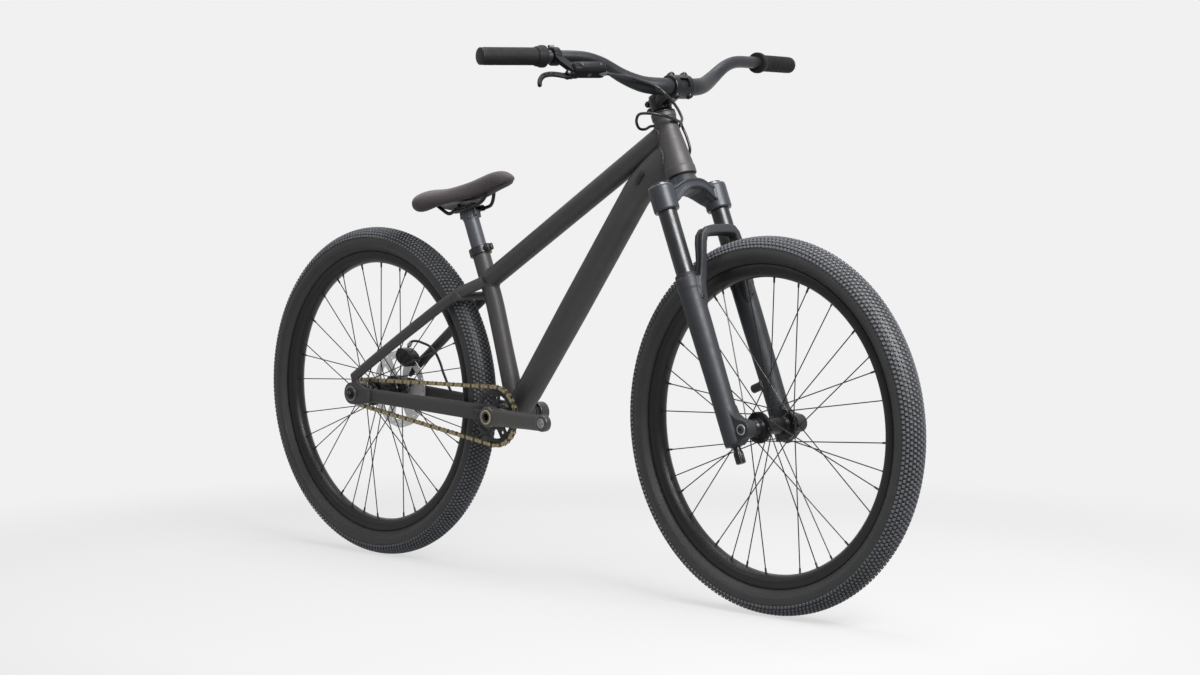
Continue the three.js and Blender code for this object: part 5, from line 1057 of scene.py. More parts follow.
def add_crown():
    facing = frame_at(STEER_ORIGIN, STEER_FORWARD, Y)
    under = [(60, 436), (44, 444), (30, 452), (30, 457), (44, 455), (58, 450)]
    pockets = [prism([(side * x, s) for x, s in under], -60, -14, facing) for side in BOTH]
    piece("crown_forging", crown_shape(), SLATE, "steering", "slate", ["fork_crown"], cast=0.9,
          soften=5, cuts=pockets)
    for side, name in SIDES:
        own = leg_frame(side)
        cap = [(0.01, 464.8), (16.5, 464.8), (16.5, 469.4), (15.6, 470.8), (12.4, 471),
               (12.2, 468.8), (8.4, 468.8), (8.2, 470.2), (0.01, 470.2)]
        detail(f"{name}_cap_finish", lathe(cap, own), BLACK, "steering", "black_alloy",
               [f"{name}_leg_cap"])
        lip = [(22.6, 464.2), (22.9, 464.9), (22.2, 466.1), (17.4, 466.5), (17.4, 464.2)]
        detail(f"{name}_crown_lip", hoop(lip, own, 72), LIP, "steering")
        foot = [(17.1, 418.4), (17.1, 420.4), (22.2, 420.4), (22.6, 419.6), (22, 418.6)]
        detail(f"{name}_crown_foot_ring", hoop(foot, own, 72), BLACK, "steering")
        piece(f"{name}_stanchion_finish", rod([(17, 160), (17, 463)], own, 96), GLOSS,
              "steering", "gloss_black", [f"{name}_stanchion"])


def leg_foot_shape(side):
    outline = [(-16.6, -46), (-16.6, 20), (9.8, 23)]
    outline += [(x, -y) for x, y in arc(FORK_OFFSET - LEG_X, 0, 16, -110, 70, 20)]
    outline += [(26, -22), (18.4, -32), (16.6, -48)]
    low, high = sorted((side * 55.3, side * FOOT_FACE))
    return prism(outline, low + 0.1, high - 0.1,
                 frame_at(steer(LEG_X, 0, 0), Y, STEER_FORWARD))


def lowers_shape():
    shape = Shape()
    profile = [(15, -20.4), (18.4, -19), (19.6, -15), (19.6, 52), (20.1, 110), (21.5, 200),
               (21.5, 268), (22.4, 272), (22.4, 287.6), (21.4, 291)]
    for side in BOTH:
        shape.join(rod(profile, leg_frame(side), 72, 1.2), leg_foot_shape(side))
    bow = [(steer(n, -y, s), t, b) for n, y, s, t, b in ARCH]
    bow += [(steer(46.6, 0, 365.8), 8.4, 11.4)]
    bow += [(steer(n, y, s), t, b) for n, y, s, t, b in ARCH[::-1]]
    for shift in (-0.62, 0.62):
        line = [(at + STEER_FORWARD * (b * shift), b * 0.38, t) for at, t, b in bow]
        shape.join(swept(line, STEER_FORWARD, 20, 4.5))
    shape.join(swept([(at, b * 0.8, t - 1.5) for at, t, b in bow], STEER_FORWARD, 20, 4.5))
    for side in BOTH:
        gusset = [(14, 65, 222, 6, 8), (16, 62, 246, 10, 12), (18, 60, 270, 13, 11),
                  (21, 58, 288, 11, 10)]
        shape.join(swept([(steer(n, side * y, s), t, b) for n, y, s, t, b in gusset],
                         STEER_FORWARD, 20, 3.5))
    for level in POST_LEVELS:
        shape.join(rod([(11, 4), (8, 16), (8, 33)], post_frame(level), 40, 0.8))
        brace = [(steer(LEG_X - 6, 58, level), 5, 12), (steer(LEG_X - 22, 56.4, level), 4, 7)]
        shape.join(swept(brace, Y, 20, 3))
    return shape


def add_lowers():
    body = "fork_slider"
    cuts = [rod([(17.35, 262), (17.35, 300)], leg_frame(side), 72) for side in BOTH]
    cuts.append(rod([(7.6, -80), (7.6, 80)], frame_at(FRONT, Y, X), 48))
    cuts += [rod([(2.6, 19), (2.6, 40)], post_frame(level), 24) for level in POST_LEVELS]
    piece("lowers_casting", lowers_shape(), LEG_PAINTED_SHADE, body, "slate", ["fork_lowers"], cast=1.0,
          soften=4, cuts=cuts)
    for side, name in SIDES:
        own = leg_frame(side)
        seal = [(17.15, 288), (17.15, 298.4), (18, 299.4), (20, 298.2), (20.6, 296), (21, 290.4),
                (21, 288)]
        piece(f"{name}_wiper_seal", hoop(seal, own, 72), SHELL_PLASTIC, body, sharp=30)
        ring = [(21.2, 289.6), (21.8, 290.2), (21.4, 291.6), (20.6, 291.6)]
        piece(f"{name}_seal_ring", hoop(ring, own, 72), DARK_STEEL, body, sharp=30)
    nut = [(0.01, -27), (4.6, -27), (4.8, -24.2), (9.4, -24), (9.8, -23), (9.8, -19), (0.01, -19)]
    detail("left_foot_nut", lathe(nut, leg_frame(1), 40), BLACK, body)
    screws = Shape()
    for side in BOTH:
        at = steer(LEG_X + 21.3, side * (TRACK - 3), 250)
        screws.join(bolt(at, STEER_FORWARD, 3.4, 2.2))
    piece("leg_top_screws", screws, DARK_STEEL, body)
    axle = frame_at(FRONT - Y * FOOT_FACE, -Y, X)
    face = [(0.01, 0.6), (3.6, 0.6), (3.6, 3.4), (5.8, 3.4), (6.8, 2.4), (6.8, -0.6),
            (0.01, -0.6)]
    detail("front_axle_face", lathe(face, axle, 56), BLACK, body)
    ring = [(7.4, -0.9), (7.4, 1.5), (9.2, 1.5), (9.8, 0.9), (9.8, -0.9)]
    detail("front_axle_ring", hoop(ring, axle), STEEL, body)
    socket = prism(full(0, 0, 3.5, 6), 0.4, 3, axle, [full(0, 0, 2.3, 6)])
    detail("front_axle_socket", socket, DARK_STEEL, body)
    end = [(0.01, -0.7), (10.4, -0.7), (10.4, 0.9), (9.6, 1.6), (0.01, 1.6)]
    detail("front_axle_end", lathe(end, frame_at(FRONT + Y * FOOT_FACE, Y, X), 56), BLACK, body)


def add_knob():
    own = leg_frame(-1)
    rings = []
    for radius, level in ((6.9, -53.6), (8.4, -52.9), (9, -51.4), (9, -37), (8.6, -33),
                          (7.2, -30.4), (7.2, -27), (6.6, -23.3)):
        ring = []
        for j in range(108):
            turn = 2 * pi * j / 108
            groove = 0.85 * max(0, cos(KNOB_GROOVES * turn)) ** 3 if -52.9 < level < -33 else 0
            ring.append(own @ mm(*polar(radius - groove, turn), level))
        rings.append(ring)
    piece("rebound_knob_finish", rings_shape(rings), BLACK, "rebound_dial", "black_alloy",
          ["rebound_knob"], sharp=50)
    neck = [(0.01, -24), (9.6, -24), (10.2, -23), (10.2, -19), (0.01, -19)]
    detail("right_foot_collar", lathe(neck, own, 40), BLACK, "fork_slider")


add_crown()
add_lowers()
add_knob()

# Cockpit
BAR_CENTRE = steer(52, 0, 640)
BAR_SWEEP, BAR_RISE, BAR_HALF = 60.4, 77.3, 400
CLAMP_RADIUS, END_RADIUS, TAPER_START, TAPER_END = 15.9, 11.1, 33, 180
BAR_POINTS = ((0, 0, 0.1), (0.155, 0.1, 0.2), (0.265, 0.35, 0.3), (0.25, 0.64, 0.4),
              (0.3, 0.81, 0.5), (1, 1, 1))  # shares of the bar's sweep, rise and half its width
GRIP_LENGTH, GRIP_CORE, RIB_PITCH, WAFFLE_PITCH = 122.5, 14.9, 3.6, 5


def bar_points(side):
    return [BAR_CENTRE] + [BAR_CENTRE - STEER_FORWARD * (BAR_SWEEP * back)
                           + STEER_UP * (BAR_RISE * up) + Y * (side * BAR_HALF * out)
                           for back, up, out in BAR_POINTS]


def bar_line(side):
    points = bar_points(side)
    line = spline(points[:-1], 10, tension=0.4)
    last = line[-1]
    line += [last.lerp(points[-1], i / 20) for i in range(1, 21)]
    for _ in range(14):
        line = [line[0], line[1], *[here * 0.5 + (before + after) * 0.25 for before, here, after
                                    in zip(line[1:], line[2:], line[3:])], line[-1]]
    return line


def add_handlebar():
    line = bar_line(-1)[::-1] + bar_line(1)[1:]

    def radius(i):
        share = eased(abs(line[i].y), TAPER_START, TAPER_END)
        return lerp(CLAMP_RADIUS, END_RADIUS, share)

    piece("handlebar_finish", pipe(line, radius, 64), BAR_ALLOY, "steering", "frame",
          ["handlebar"])


def add_grip(side, name):
    before, end = bar_points(side)[-2:]
    own = frame_at(end, (end - before).normalized(), STEER_FORWARD)
    rings = []
    for i in range(151):
        z = lerp(-GRIP_LENGTH, 3.2, i / 150)
        ring = []
        for j in range(96):
            turn = 2 * pi * j / 96
            rib = 0.5 + 0.5 * math.tanh(3.2 * sin(2 * pi * z / RIB_PITCH))
            pad = 0.5 + 0.5 * math.tanh(5 * (cos(turn - 0.4) - 0.25))
            check = sin(2 * pi * z / WAFFLE_PITCH) * sin(16 * turn)
            waffle = 0.5 + 0.5 * math.tanh(4 * (check + 0.35))
            fade = min(1, max(0, (z + 119) / 4)) * min(1, max(0, (0.5 - z) / 4))
            r = GRIP_CORE + fade * (0.75 * rib * (1 - pad) + 0.8 * waffle * pad)
            ring.append(own @ mm(*polar(r - max(z - 0.5, 0) * 0.5, turn), z))
        rings.append(ring)
    piece(f"{name}_grip_ribs", rings_shape(rings), GRIP_RUBBER, "steering", "grip_rubber",
          [f"{name}_grip"], sharp=60)
    flange = [(15.2, -125.4), (18.8, -125.2), (19.8, -123.6), (19.8, -117), (18, -112),
              (17.4, -107.5), (15.2, -106)]
    piece(f"{name}_grip_flange", rod(flange, own, 72, 1.4), GRIP_RUBBER, "steering",
          "grip_rubber")
    end = rod([(14.2, 1), (15.4, 2), (15.4, 3.6), (13, 4.9)], own, 64, 0.8)
    piece(f"{name}_grip_end", end, SHELL_PLASTIC, "steering")


STEM_LEVEL, PINCH_BACK = 628, -18.5


def add_stem():
    bar = frame_at(BAR_CENTRE, Y, STEER_FORWARD)
    shape = rod([(18.6, 615), (19.5, 616), (19.5, 640), (18.8, 640.7)], STEER, 72, 0.6)
    low = steer(0, 0, STEM_LEVEL)
    neck = ((0, 19, 12.4), (0.3, 17.5, 12), (0.62, 18.6, 13), (0.86, 23.6, 16))
    shape.join(swept([(low.lerp(BAR_CENTRE, s), w, t) for s, w, t in neck], Y, 48, 3.4))
    shape.join(rod([(21, -24), (21.9, -23), (21.9, 23), (21, 24)], bar, 96, 0.5))
    pinch = frame_at(steer(PINCH_BACK, 0, STEM_LEVEL), Y, STEER_UP)
    for up in (7, -7):
        shape.join(rod([(5.2, -14.5), (6, -13.6), (6, 13.6), (5.2, 14.5)],
                       Matrix.Translation(STEER_UP * up) @ pinch, 32, 0.4))
    away = prism([(0.4, -60), (60, -60), (60, 60), (0.4, 60)], -40, 40, bar)
    bore = rod([(16.1, -60), (16.1, 60)], bar, 64)
    steerer = rod([(14.9, 600), (14.9, 650)], STEER, 64)
    split = block((-32, -0.9, 600), (-12, 0.9, 650), STEER)
    piece("stem_forging", shape, BLACK, "steering", "black_alloy", ["stem_body"], cast=0.8,
          cuts=(away, bore, steerer, split))
    plate = rod([(20.6, -24), (21.9, -22.8), (21.9, 22.8), (20.6, 24)], bar, 96, 0.6)
    screws = Shape()
    for height in BOTH:
        for side in BOTH:
            at = BAR_CENTRE + STEER_UP * (height * 19.6) + Y * (side * 16.5)
            lug = frame_at(at + STEER_FORWARD * 1.2, STEER_FORWARD, Y)
            plate.join(rod([(5.4, 0), (5.8, 0.8), (5.8, 9.4), (5, 10.4)], lug, 32, 0.5))
            screws.join(bolt(at + STEER_FORWARD * 10.6, STEER_FORWARD, 3.9, 2.6))
    back = prism([(1.6, -60), (-60, -60), (-60, 60), (1.6, 60)], -40, 40, bar)
    window = block((6, -9, -11), (40, 9, 11), bar)
    piece("faceplate_forging", plate, BLACK, "steering", "black_alloy", ["stem_faceplate"],
          cast=0.8, cuts=(back, bore, window))
    for up in (-7, 7):
        at = steer(PINCH_BACK, 0, STEM_LEVEL + up)
        screws.join(bolt(at + Y * -14.2, -Y, 3.8, 2.4), bolt(at + Y * 14.2, Y, 2.8, 1.0))
    detail("stem_screws", screws, DARK_STEEL, "steering")
    cover = rod([(22.8, 608.2), (22.8, 610.4), (17.9, 614.2), (17.5, 614.8)], STEER, 72, 0.4)
    piece("headset_cover_finish", cover, BLACK, "steering", "black_alloy",
          ["headset_top_cover"])
    cap = [(0.01, 642.6), (4.4, 642.6), (4.6, 644), (8, 645.6), (16.2, 646), (17.5, 644.8),
           (17.5, 641.2), (0.01, 641.2)]
    detail("top_cap_finish", lathe(cap, STEER, 72), BLACK, "steering", "black_alloy",
           ["steerer_top_cap"])
    detail("top_cap_screw", bolt(steer(0, 0, 642.4), STEER_UP, 4.1, 2.6), STEEL, "steering")


add_handlebar()
for grip_side, grip_name in SIDES:
    add_grip(grip_side, grip_name)
add_stem()

# Brake lever, on the right of the bar
LEVER_OUT = Vector((-0.21816, -0.97586, -0.01007)).normalized()
LEVER_OVER = Vector((0.73226, -0.17051, 0.65933)).normalized()
LEVER_AWAY = LEVER_OVER.cross(LEVER_OUT).normalized()
LEVER = Matrix((LEVER_OUT, LEVER_AWAY, LEVER_OVER)).transposed().to_4x4()
LEVER.translation = mm(255.79, -258, 986.48)
PIVOT = (-10, 43)


def lever(out, away, over):
    return LEVER @ mm(out, away, over)


def across_lever(out, away):
    return frame_at(lever(out, away, 0), LEVER_OVER, LEVER_OUT)


def add_lever():
    band = frame_at(lever(0, 0, 0), LEVER_OUT, LEVER_AWAY)
    shape = rod([(15.6, -7), (16.5, -6.2), (16.5, 6.2), (15.6, 7)], band, 72, 0.6)
    section = [(46, -6), (49, -2.5), (48.6, 14.5), (44, 18.8), (32, 19.6), (22.5, 12), (20, 4),
               (22, -3.5), (26, -6)]
    shape.join(rings_shape([
        [lever(out, 36 + (a - 36) * size, 5 + (o - 5) * size) for a, o in section]
        for out, size in ((-17, 0.66), (-20, 0.84), (-25, 0.95), (-32, 1), (-76, 1),
                          (-81, 0.95), (-83.4, 0.82))]))
    arm = [(-7, 9), (7, 9), (2, 22), (-8, 35), (-16, 44), (-28, 42), (-24, 30), (-15, 20)]
    lug = arc(*PIVOT, 6, -60, 120, 14) + [(-16, 48), (-20, 48), (-26, 36), (-18, 30)]
    root = [(-30, 28), (-17, 30), (-17, 46), (-30, 47)]
    for outline, low, high in ((arm, 3.3, 12.4), (lug, 3.3, 7.4), (lug, -7.4, -3.3),
                               (root, -7.4, 7.4)):
        shape.join(prism(outline, low, high, LEVER))
    band_bore = rod([(11.5, -20), (11.5, 20)], band, 64)
    swing = prism([(-10, 54), (-15.5, 43), (-10, 32), (70, 20), (70, 75)], -3.3, 3.3, LEVER)
    pin = rod([(2.45, -12), (2.45, 12)], across_lever(*PIVOT), 32)
    split = block((-9, -24, -1.0), (9, -8, 1.0), LEVER)
    piece("lever_body_casting", shape, LEVER_PAINTED_SHADE, "steering", "black_alloy",
          ["brake_lever_body"], cast=0.7, soften=2, cuts=(band_bore, swing, pin, split))
    end = lever(-76, 45, 7)
    hose_end = frame_at(end, end - lever(-14, 32, 7), LEVER_AWAY)
    nut = rod([(6.2, -6), (6.2, 3), (5, 3.8), (5, 8.4), (3.4, 9.4)], hose_end, 6, 0.4)
    detail("hose_nut", nut, LIP, "steering")
    piece("hose_boot", rod([(3.4, 6), (3.4, 12), (2.7, 15)], hose_end, 20), SHELL_PLASTIC,
          "steering")
    side_screw = bolt(lever(-50, 48.3, 5), LEVER_AWAY, 3.4, 1.3)
    detail("reservoir_screw", side_screw, LIP, "steering")
    lid = [(-27, 34), (-35, 31), (-74, 31), (-78, 33), (-78, 40), (-72, 43), (-33, 43)]
    piece("reservoir_lid", prism(lid, 18.2, 20.6, LEVER), LEVER_PAINTED_SHADE, "steering", bevel=1.0)
    lid_screws = Shape().join(*[bolt(lever(out, 37, 20.5), LEVER_OVER, 2.2, 0.9)
                                for out in (-34, -72)])
    detail("reservoir_lid_screws", lid_screws, DARK_STEEL, "steering")
    clamp = bolt(lever(0, -18.2, 2), LEVER_OVER, 3.6, 4.5)
    detail("lever_clamp_screw", clamp, LIP, "steering")
    ears = Shape().join(*[block((-6, -22.6, low), (6, -12, high), LEVER)
                          for low, high in ((1.4, 6.2), (-6.2, -1.4))])
    piece("lever_clamp_ears", ears, LEVER_PAINTED_SHADE, "steering", bevel=1.6)


def add_blade():
    spine = spline([mm(*p, 0) for p in ((-14, 44), (-2, 45.8), (12, 43), (27, 42.4), (40, 45.8),
                                        (49, 53), (54.5, 61), (57, 67.5))], 5)
    stations = []
    for i, p in enumerate(spine):
        share = i / (len(spine) - 1)
        stations.append((lever(*p), 2.9 if share < 0.75 else 2.7, lerp(6.2, 3.8, share)))
    pivot = across_lever(*PIVOT)
    shape = swept(stations, LEVER_OVER, 28, 3.0)
    shape.join(rod([(5.2, -3), (6, -2.4), (6, 2.4), (5.2, 3)], pivot, 48, 0.4))
    ball = [(0.01, -4.2), (2.6, -3.4), (3.9, -1.4), (3.9, 1.4), (2.6, 3.4), (0.01, 4.2)]
    shape.join(lathe(rounded(ball, 1.2), across_lever(57, 67.5), 32))
    holes = [rod([(1.7, -8), (1.7, 8)], across_lever(out, away), 24)
             for out, away in ((20, 42.3), (30, 42.8), (39, 45.2))]
    piece("blade_forging", shape, LEVER_PAINTED_SHADE, "lever", "black_alloy", ["brake_lever_blade"],
          cast=0.55, cuts=holes)
    pin = rod([(2.4, -7.8), (2.4, 7.8)], pivot, 28)
    piece("lever_pin", pin, STEEL, "lever", "steel")


add_lever()
add_blade()

# Seatpost and saddle
SADDLE_PITCH = radians(10)
ALONG = Vector((cos(SADDLE_PITCH), 0, sin(SADDLE_PITCH)))
RISE = Vector((-sin(SADDLE_PITCH), 0, cos(SADDLE_PITCH)))
SADDLE = Matrix((ALONG, Y, RISE)).transposed().to_4x4()
SADDLE.translation = mm(-238.516, 0, 726.577)
NOSE, TAIL, HALF_WIDTH, TOP = 117, 143, 68, 45
WIDTH_SHARES = (0.22, 0.27, 0.29, 0.33, 0.42, 0.58, 0.78, 0.93, 1, 0.97, 0.84)
TOP_SHARES = (0.74, 0.97, 1.0, 0.93, 0.84, 0.77, 0.73, 0.77, 0.84, 0.81, 0.64)
EDGE_SHARES = (0.38, 0.27, 0.2, 0.1, 0, -0.1, -0.18, -0.2, -0.17, -0.08, 0.16)
RAIL_POINTS = (  # shares forward, aside and up
    (0.43, 0.4, 5), (0.41, 0.45, 3.9), (0.37, 0.5, 2.3), (0.29, 0.68, 0.9), (0.14, 1, 0),
    (-0.33, 1, -0.1), (-0.47, 1.05, -0.35), (-0.6, 1.15, 1.2), (-0.74, 1.3, 3.4),
)
CLAMP_X, RAIL_Y, RAIL_Z = -18.6, 22, -14


def saddle(along, aside, up):
    return SADDLE @ mm(along, aside, up)


def smooth_share(shares, t):
    """Reads evenly spaced shares as one smooth curve."""
    place = t * (len(shares) - 1)
    i = min(int(place), len(shares) - 2)
    a, b = shares[i], shares[i + 1]
    before, after = shares[max(i - 1, 0)], shares[min(i + 2, len(shares) - 1)]
    return hermite(a, b, (b - before) / 2, (after - a) / 2, place - i)


def saddle_section(t):
    full_round = max(max(1 - abs(2 * t - 1) ** 9, 0.0) ** 0.5, 0.08)
    half = max(HALF_WIDTH * smooth_share(WIDTH_SHARES, t) * full_round, 1)
    top, edge = TOP * smooth_share(TOP_SHARES, t), TOP * smooth_share(EDGE_SHARES, t)
    middle, rise = (top + edge) / 2, (top - edge) / 2 * full_round
    return lerp(NOSE, -TAIL, t), half, middle + rise, middle - rise


def pad_edge(t, edge):
    """The cover's lower edge: high beside the rails, low at nose and tail."""
    return edge + 5.5 * math.exp(-((t - 0.56) / 0.15) ** 2) - 1.5 - 4.2 * eased(t, 0.68, 0.84)


def pad_shape():
    """The cover wraps round the lower edge, fullest at the tail."""
    rings = []
    rows, sides = 96, 80
    for i in range(rows + 1):
        t = lerp(0.003, 0.997, (1 - cos(pi * i / rows)) / 2)
        along, half, top, edge = saddle_section(t)
        lobe, hollow = eased(t, 0.68, 0.84), eased(t, 0.3, 0.7)
        edge = pad_edge(t, edge)
        ring = []
        for j in range(sides):
            c, s = polar(1, 2 * pi * (j + 0.5) / sides)
            a = bulge(c, 0.74 if s > 0 else lerp(0.86, 0.7, lobe)) * half
            b = bulge(s, 0.86 if s > 0 else lerp(0.92, 0.8, lobe)) * (top - edge) / 2
            if s < 0:
                b *= 1 - 0.74 * hollow * math.exp(-(a / (0.62 * half)) ** 4)
            dip = 2.2 * math.exp(-(a / 13) ** 2) * max(s, 0) * math.exp(-((t - 0.62) / 0.26) ** 2)
            ring.append(saddle(along, a, (top + edge) / 2 + b - dip))
        rings.append(ring)
    return rings_shape(rings)


def add_saddle():
    pad = piece("saddle_cover_pad", pad_shape(), COVER, "seat", "cover", ["saddle_pad"], cast=2.6,
                soften=8)
    rings = []
    for i in range(41):
        t = lerp(0.05, 0.93, i / 40)
        along, half, _, edge = saddle_section(t)
        lift = edge + (3.5 + 13.5 * eased(t, 0.3, 0.7))
        ring = []
        for j in range(48):
            c, s = polar(1, 2 * pi * (j + 0.5) / 48)
            ring.append(saddle(along, bulge(c, 0.5) * half * 0.6, lift + 4.2 * bulge(s, 0.8)))
        rings.append(ring)
    piece("saddle_base", rings_shape(rings), SHELL_PLASTIC, "seat", "shell_plastic",
          ["saddle_shell"], cast=1.6, soften=4)
    seam = Shape()
    for side in BOTH:
        line = []
        for i in range(60):
            t = lerp(0.05, 0.4, i / 59)
            along, half, top, edge = saddle_section(t)
            line.append(saddle(along, side * half * 0.7, lerp(pad_edge(t, edge), top, 0.115)))
        seam.join(pipe(line, 0.9, 8))
    piece("saddle_edge_seams", seam, SHELL_PLASTIC, "seat")
    right, left = ([saddle(117 * s, side * RAIL_Y * a, 7 * r + RAIL_Z) for s, a, r in RAIL_POINTS]
                   for side in BOTH)
    middle = (right[0] + left[0]) / 2 + ALONG * 3.5 + RISE * 1.5
    rails = pipe(spline([*right[::-1], middle, *left], 10), 3.5, 24)
    piece("saddle_rails_finish", rails, BLACK, "seat", "steel", ["saddle_rails"])


def add_post():
    post = rod([(15.45, -67), (15.45, 58), (16.6, 63), (16.6, 66)], COLLAR, 80, 0.6)
    post.join(block((CLAMP_X - 13.5, -16, -32.6), (CLAMP_X + 13.5, 16, -18.2), SADDLE))
    screws = Shape()
    for side in BOTH:
        out = CLAMP_X + side * 14.5
        post.join(rod([(5.4, -6.5), (6.6, -5.2), (6.6, 3.4), (5.8, 4)],
                      frame_at(saddle(out, 0, -22), RISE, Y), 36, 0.5))
        screws.join(rod([(2.4, -32), (2.4, -8)], frame_at(saddle(out, 0, 0), RISE, Y), 20))
        screws.join(bolt(saddle(out, 0, -30), -RISE, 4.2, 4.2))
        nut = frame_at(saddle(CLAMP_X + side * 12.4, 0, -7.6), Y, RISE)
        screws.join(rod([(4.2, -8), (4.2, 8)], nut, 24))
    piece("seatpost_forging", post, POST_ALLOY, "seat", "slate", ["seatpost"], cast=1.0)
    for name, node, start, end, reach, low, high in (
            ("rail_cradle", "rail_clamp_lower", 100, 260, 17, (-15, -19, -5.4), (15, 19, -2.4)),
            ("rail_cap", "rail_clamp_upper", -80, 80, 15, (-11, -18.6, 2.2), (11, 18.6, 5))):
        clamp = Shape()
        for side in BOTH:
            groove = frame_at(saddle(CLAMP_X, side * RAIL_Y, RAIL_Z), ALONG, RISE)
            half = arc(0, 0, 6.2, start, end, 14) + arc(0, 0, 3.65, end, start, 12)
            clamp.join(prism(half, -reach, reach, groove))
        shift = mm(CLAMP_X, 0, RAIL_Z)
        clamp.join(block(mm(*low) + shift, mm(*high) + shift, SADDLE))
        detail(name, clamp, BLACK, "seat", "black_alloy", [node], bevel=0.5)
    detail("saddle_clamp_screws", screws, DARK_STEEL, "seat")


add_saddle()
add_post()

# Rear brake and hose
CALIPER_ANGLE, CALIPER_REACH = radians(67), 72
CALIPER_WAY = mm(cos(CALIPER_ANGLE), 0, sin(CALIPER_ANGLE))
CALIPER = frame_at(REAR + CALIPER_WAY * CALIPER_REACH, Y, CALIPER_WAY)
HOSE_RADIUS = 2.6
FRONT_RUN = [
    (309, -184.6, 957), (313.5, -163, 954), (312, -138, 952.5), (309, -118, 950),
    (315, -92, 943.5), (323, -70, 935), (336, -60, 921.5), (333, -34, 904), (311, 5, 886),
    (280, 40, 874), (267, 41, 860), (255, 26, 861), (245, 0, 866), (249, -24, 860),
    (252, -42, 862), (258, -55, 874.5), (269, -60, 886), (292, -58, 888), (306, -40, 885),
    (308, -15, 879), (301, 16, 871.5), (288, 34, 864), (295, 39, 843.8), (301, 40, 819.4),
    (285, 41, 800), (264, 37, 788), (247, 28, 781), (239, 22, 777),
]
REAR_RUN = [
    (-500, 48, 424), (-490.5, 49, 435), (-473.8, 50, 437), (-456.7, 50.5, 434),
    (-439.7, 51, 429.5), (-426.6, 51, 423), (-417.1, 51, 414.3), (-403, 51, 393.2),
    (-396.7, 51, 379), (-388.3, 51.5, 363.5), (-379.8, 52, 348), (-370, 53, 334),
]


def add_caliper():
    outline = [(-15, -10), (-15, 10), (-9, 22), (-2, 25), (11, 22.5), (15, 17), (18, 6),
               (18, -6), (15, -17), (11, -22.5), (-2, -25), (-9, -22)]
    bridge = [(9.5, -22), (9.5, 22), (15, 16), (18, 5), (18, -5), (15, -16)]
    own = frame_at(CALIPER.translation, Y, CALIPER_WAY)
    shape = prism(outline, 37, 49.2, CALIPER)
    shape.join(prism(outline, 52.6, 61, CALIPER), prism(bridge, 46, 55, CALIPER),
               rod([(11.2, 36.2), (11.2, 45)], own, 48),
               rod([(11.2, 56), (11.2, 61.8), (9.8, 62)], own, 48, 0.8))
    piece("caliper_casting", shape, BLACK, "frame", "black_alloy", ["rear_caliper"], cast=0.7)
    screws = Shape().join(*[bolt(CALIPER @ mm(4, across, 61), Y, 4.4, 3.6)
                            for across in (-19, 19)])
    detail("caliper_screws", screws, STEEL, "frame")
    ring = [(6.4, 61.4), (6.4, 62.4), (9, 62.4), (9.4, 61.9), (9.4, 61.4)]
    detail("caliper_piston_ring", hoop(ring, own, 40), STEEL, "frame")
    fitting = rod([(5, 0), (5, 3), (4.2, 3.6), (4.2, 9), (3, 10)],
                  frame_at(mm(-497.5, 48.2, 427), mm(9.5, 1, 11), Y), 6, 0.3)
    detail("caliper_hose_nut", fitting, STEEL, "frame")


def add_hoses():
    front = pipe(spline(FRONT_RUN, 8), HOSE_RADIUS, 20)
    made = piece("front_hose_jacket", front, HOSE_SKIN, None)
    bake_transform(made)
    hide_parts("brake_hose_front_run")
    rear = pipe(spline(REAR_RUN, 8), HOSE_RADIUS, 20)
    piece("rear_hose_jacket", rear, HOSE_SKIN, "frame", "hose", ["brake_hose_rear_run"])


add_caliper()
add_hoses()

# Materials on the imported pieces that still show
SHOWN = {"frame": PAINT, "slate": SLATE, "black_alloy": BLACK, "gloss_black": GLOSS,
         "steel": STEEL, "brass_chain": CHAIN_GOLD, "crank_alloy": CRANK_ALLOY,
         "tyre": TYRE_RUBBER, "grip_rubber": GRIP_RUBBER, "hose": HOSE_SKIN, "cover": COVER,
         "shell_plastic": SHELL_PLASTIC}
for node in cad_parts.values():
    for held in node.material_slots:
        packed = held.material.name if held.material else ""
        for key, look in SHOWN.items():
            if packed.startswith(key):
                held.material = look
                break

# Floor, lights and background
BACKDROP_WAY = (-0.708, 0.706, 0.0)
FLOOR_GLOW = 0.64
FLOOR_TONE = (0.1, 0.1, 0.1, 1)
FLOOR_RADIUS = 2400
FADE_START, FADE_END = 0.9, 1.9
ROOM_DIM, ROOM_BRIGHT = 0.42, 0.879


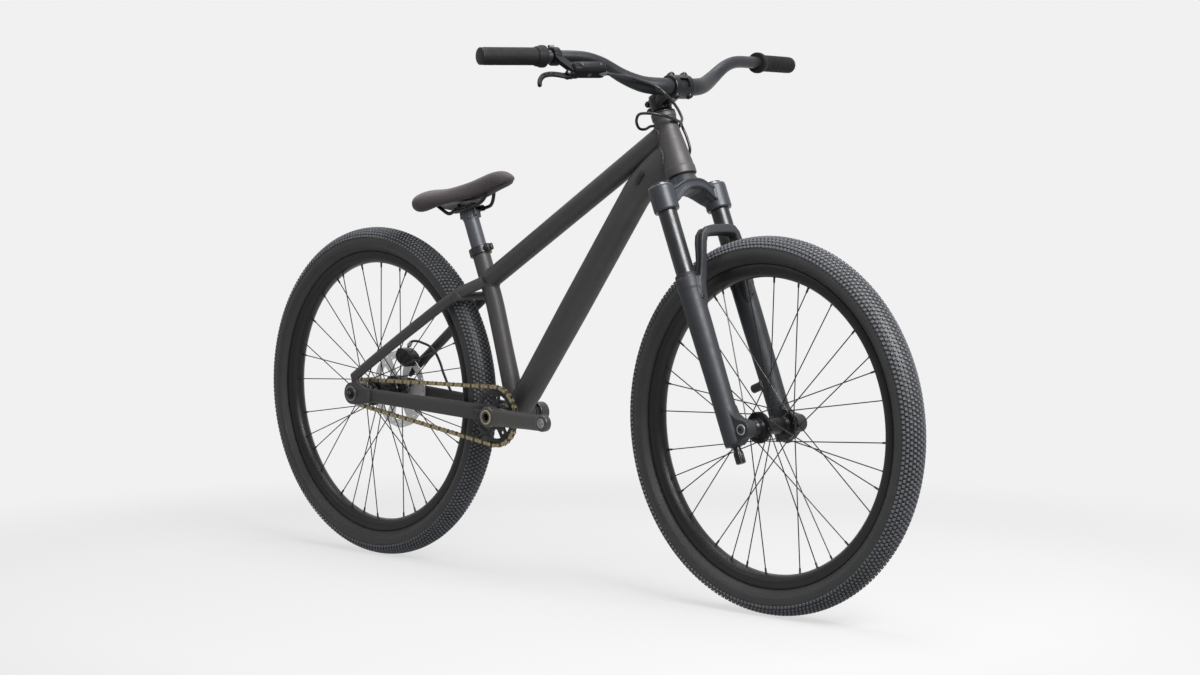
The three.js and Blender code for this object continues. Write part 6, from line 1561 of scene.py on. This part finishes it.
def soft_floor():
    """Pale near the bike, fading out, so that the background runs on to the horizon."""
    made = Nodes(bpy.data.materials.new("pale_floor"))
    made.feed(made.shader, {"Base Color": FLOOR_TONE, "Roughness": 0.9,
                            "Specular IOR Level": 0.0, "Emission Color": WHITE,
                            "Emission Strength": FLOOR_GLOW})
    far = made.node("VectorMath", "Value", {0: made.place}, operation="LENGTH")
    share = made.ramped(far, 0.0, 1.0, FADE_START, FADE_END, interpolation_type="SMOOTHSTEP")
    clear = made.node("BsdfTransparent", "BSDF", {})
    mixed = made.node("MixShader", "Shader", {0: share, 1: made.shader.outputs["BSDF"], 2: clear})
    made.feed(made.nodes["Material Output"], {"Surface": mixed})
    return made.owner


def area(name, size_x, size_y, at, aim, power):
    data = bpy.data.lights.new(name, "AREA")
    data.shape = "RECTANGLE"
    data.size, data.size_y = size_x, size_y
    data.energy = power
    made = bpy.data.objects.new(name, data)
    bpy.context.scene.collection.objects.link(made)
    made.location = at
    made.rotation_euler = (Vector(aim) - Vector(at)).to_track_quat("-Z", "Y").to_euler()


def pale_world():
    """Brightest behind the bike, dimmer on the side that faces the camera."""
    world = bpy.data.worlds.new("pale_room")
    bpy.context.scene.world = world
    made = Nodes(world, "Background", "Generated")
    toward = made.node("VectorMath", "Value", {0: made.place, 1: BACKDROP_WAY},
                       operation="DOT_PRODUCT")
    share = made.ramped(toward, ROOM_DIM, ROOM_BRIGHT, -0.25, 0.55,
                        interpolation_type="SMOOTHSTEP")
    made.feed(made.shader, {"Color": WHITE, "Strength": share})


def add_stage():
    disc = prism(full(0, 0, FLOOR_RADIUS, 96), -12, -0.4, Matrix.Identity(4))
    flat = to_object("floor", disc)
    flat.data.materials.append(soft_floor())
    area("overhead", 1.9, 1.5, (0.0, 0.25, 3.1), (0, 0, 0.4), 72)
    area("key_from_front", 1.8, 1.5, (2.8, -0.5, 2.6), (0.1, 0, 0.5), 295)
    area("side_strip", 0.5, 2.2, (-1.8, -2.8, 2.4), (0, 0, 0.5), 16)
    pale_world()
    bpy.context.scene.view_settings.view_transform = "Standard"


add_stage()
